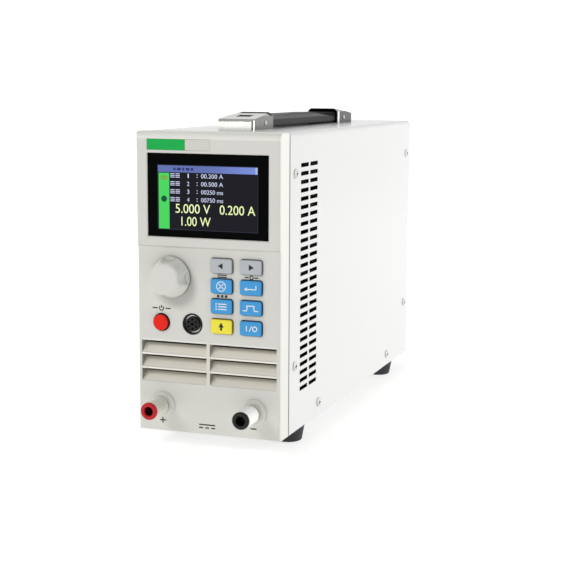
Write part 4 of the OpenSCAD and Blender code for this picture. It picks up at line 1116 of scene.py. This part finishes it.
class LOAD_OT_stage(LoadStep, bpy.types.Operator):
    """Sets the pale floor, the white backdrop, the soft lights and the camera"""

    bl_idname = "load.stage"
    bl_label = "Stage"

    def execute(self, context):
        look = context.scene.load_stage
        self.floor(look)
        self.backdrop()
        self.lights(context, look)
        self.camera(context, look)
        return {"FINISHED"}

    def floor(self, look):
        """A floor that runs up into a wall behind the load through a cove."""
        pale = Finish("studio_floor", Roughness=0.8, Specular_IOR_Level=0.1, Emission_Strength=look.backlight)
        cloud = pale.noise(0.8)
        pale.set("Base Color", pale.mix(cloud, shade(look.floor, 0.5), shade(look.floor, 0.52)))
        x, y, _ = pale.axes()
        # Painted shade round the load: the floor gives off less light close to it.
        far = pale.ramp(pale.math("SQRT", x * x + y * y), 0.15, 1.2)
        pale.set("Emission Color", pale.mix(far, screen(228, 228, 227), screen(255, 255, 255)))
        mesh = bmesh.new()
        bmesh.ops.create_grid(mesh, x_segments=1, y_segments=1, size=FLOOR_REACH)
        back = [edge for edge in mesh.edges if all(v.co.y > FLOOR_REACH / 2 for v in edge.verts)]
        wall = bmesh.ops.extrude_edge_only(mesh, edges=back)["geom"]
        tops = [part for part in wall if isinstance(part, bmesh.types.BMVert)]
        bmesh.ops.translate(mesh, verts=tops, vec=(0, 0, WALL_HEIGHT))
        round_edges(mesh, back, COVE_RADIUS, 32)
        for face in mesh.faces:
            face.smooth = True
        make_piece("studio_floor", mesh, pale)

    def backdrop(self):
        """A white drum round the stage that only the camera sees."""
        white = Finish("studio_backdrop", Roughness=0.9, Specular_IOR_Level=0.0, Emission_Strength=1.0)
        cloud = white.noise(0.2)
        white.set("Emission Color", white.mix(cloud, screen(254, 254, 254), screen(255, 255, 255)))
        mesh = bmesh.new()
        place = Matrix.Translation((0, 0, BACKDROP_MIDDLE))
        radius, height = BACKDROP_RADIUS, BACKDROP_HEIGHT
        bmesh.ops.create_cone(mesh, segments=96, radius1=radius, radius2=radius, depth=height, matrix=place)
        drum = make_piece("studio_backdrop", mesh, white)
        for rays in ("diffuse", "glossy", "transmission", "volume_scatter", "shadow"):
            setattr(drum, "visible_" + rays, False)

    def lights(self, context, look):
        world = bpy.data.worlds.new("studio_world")
        world.use_nodes = True
        ground = world.node_tree.nodes["Background"]
        ground.inputs["Color"].default_value = (1.0, 1.0, 1.0, 1.0)
        ground.inputs["Strength"].default_value = look.sky
        context.scene.world = world
        target = Vector((0, 0, (CAD_BOX[0][2] + CAD_BOX[1][2]) / 2))
        for name, power, size, place in (
            ("key_light", look.key_light, 0.5, (-0.75, -1.35, 1.15)),
            ("side_light", look.side_light, 1.3, (1.6, 0.75, 0.5)),
            ("top_light", look.top_light, 0.6, (-1.2, 0.3, 1.25)),
        ):
            lamp = bpy.data.lights.new(name, "AREA")
            lamp.energy = power
            lamp.size = size
            holder = bpy.data.objects.new(name, lamp)
            holder.location = place
            aim = target - Vector(place)
            holder.rotation_euler = aim.to_track_quat("-Z", "Y").to_euler()
            context.collection.objects.link(holder)

    def camera(self, context, look):
        place = Matrix.Translation(panel_point(*CAMERA_PLACE))
        for angle, axis in ((CAMERA_YAW, "Z"), (math.pi / 2 - CAMERA_PITCH, "X"), (CAMERA_ROLL, "Z")):
            place = place @ Matrix.Rotation(angle, 4, axis)
        data = bpy.data.cameras.new("photo_camera")
        data.lens = look.lens
        data.sensor_width = 36.0
        data.clip_start = 0.01
        data.clip_end = 100.0
        camera = bpy.data.objects.new("photo_camera", data)
        camera.matrix_world = place
        context.collection.objects.link(camera)
        context.scene.camera = camera
        context.scene.view_settings.view_transform = "Standard"


class LOAD_PT_steps(bpy.types.Panel):
    """The steps that dress the load, in order"""

    bl_idname = "LOAD_PT_steps"
    bl_label = "Bench electronic load"
    bl_space_type = "VIEW_3D"
    bl_region_type = "UI"
    bl_category = "Load"

    def draw(self, context):
        for name, group in GROUPS.items():
            box = self.layout.box()
            for key in group.__annotations__:
                box.prop(getattr(context.scene, name), key)
        for step in STEPS:
            self.layout.operator(step.bl_idname)


GROUPS = {
    "load_case": LoadCaseColours,
    "load_controls": LoadControlColours,
    "load_display": LoadDisplayLook,
    "load_marks": LoadMarkLook,
    "load_stage": LoadStageLook,
}
STEPS = (
    LOAD_OT_case,
    LOAD_OT_front,
    LOAD_OT_keys,
    LOAD_OT_controls,
    LOAD_OT_terminals,
    LOAD_OT_handle,
    LOAD_OT_rear,
    LOAD_OT_inside,
    LOAD_OT_shade_screen,
    LOAD_OT_display,
    LOAD_OT_key_marks,
    LOAD_OT_panel_marks,
    LOAD_OT_stage,
)


def register():
    for group in GROUPS.values():
        bpy.utils.register_class(group)
    for name, group in GROUPS.items():
        setattr(bpy.types.Scene, name, PointerProperty(type=group))
    for step in STEPS:
        bpy.utils.register_class(step)
    bpy.utils.register_class(LOAD_PT_steps)


def unregister():
    bpy.utils.unregister_class(LOAD_PT_steps)
    for step in reversed(STEPS):
        bpy.utils.unregister_class(step)
    for name, group in GROUPS.items():
        delattr(bpy.types.Scene, name)
        bpy.utils.unregister_class(group)


def main():
    register()
    for step in STEPS:
        group, name = step.bl_idname.split(".")
        getattr(getattr(bpy.ops, group), name)()


if __name__ == "__main__":
    main()
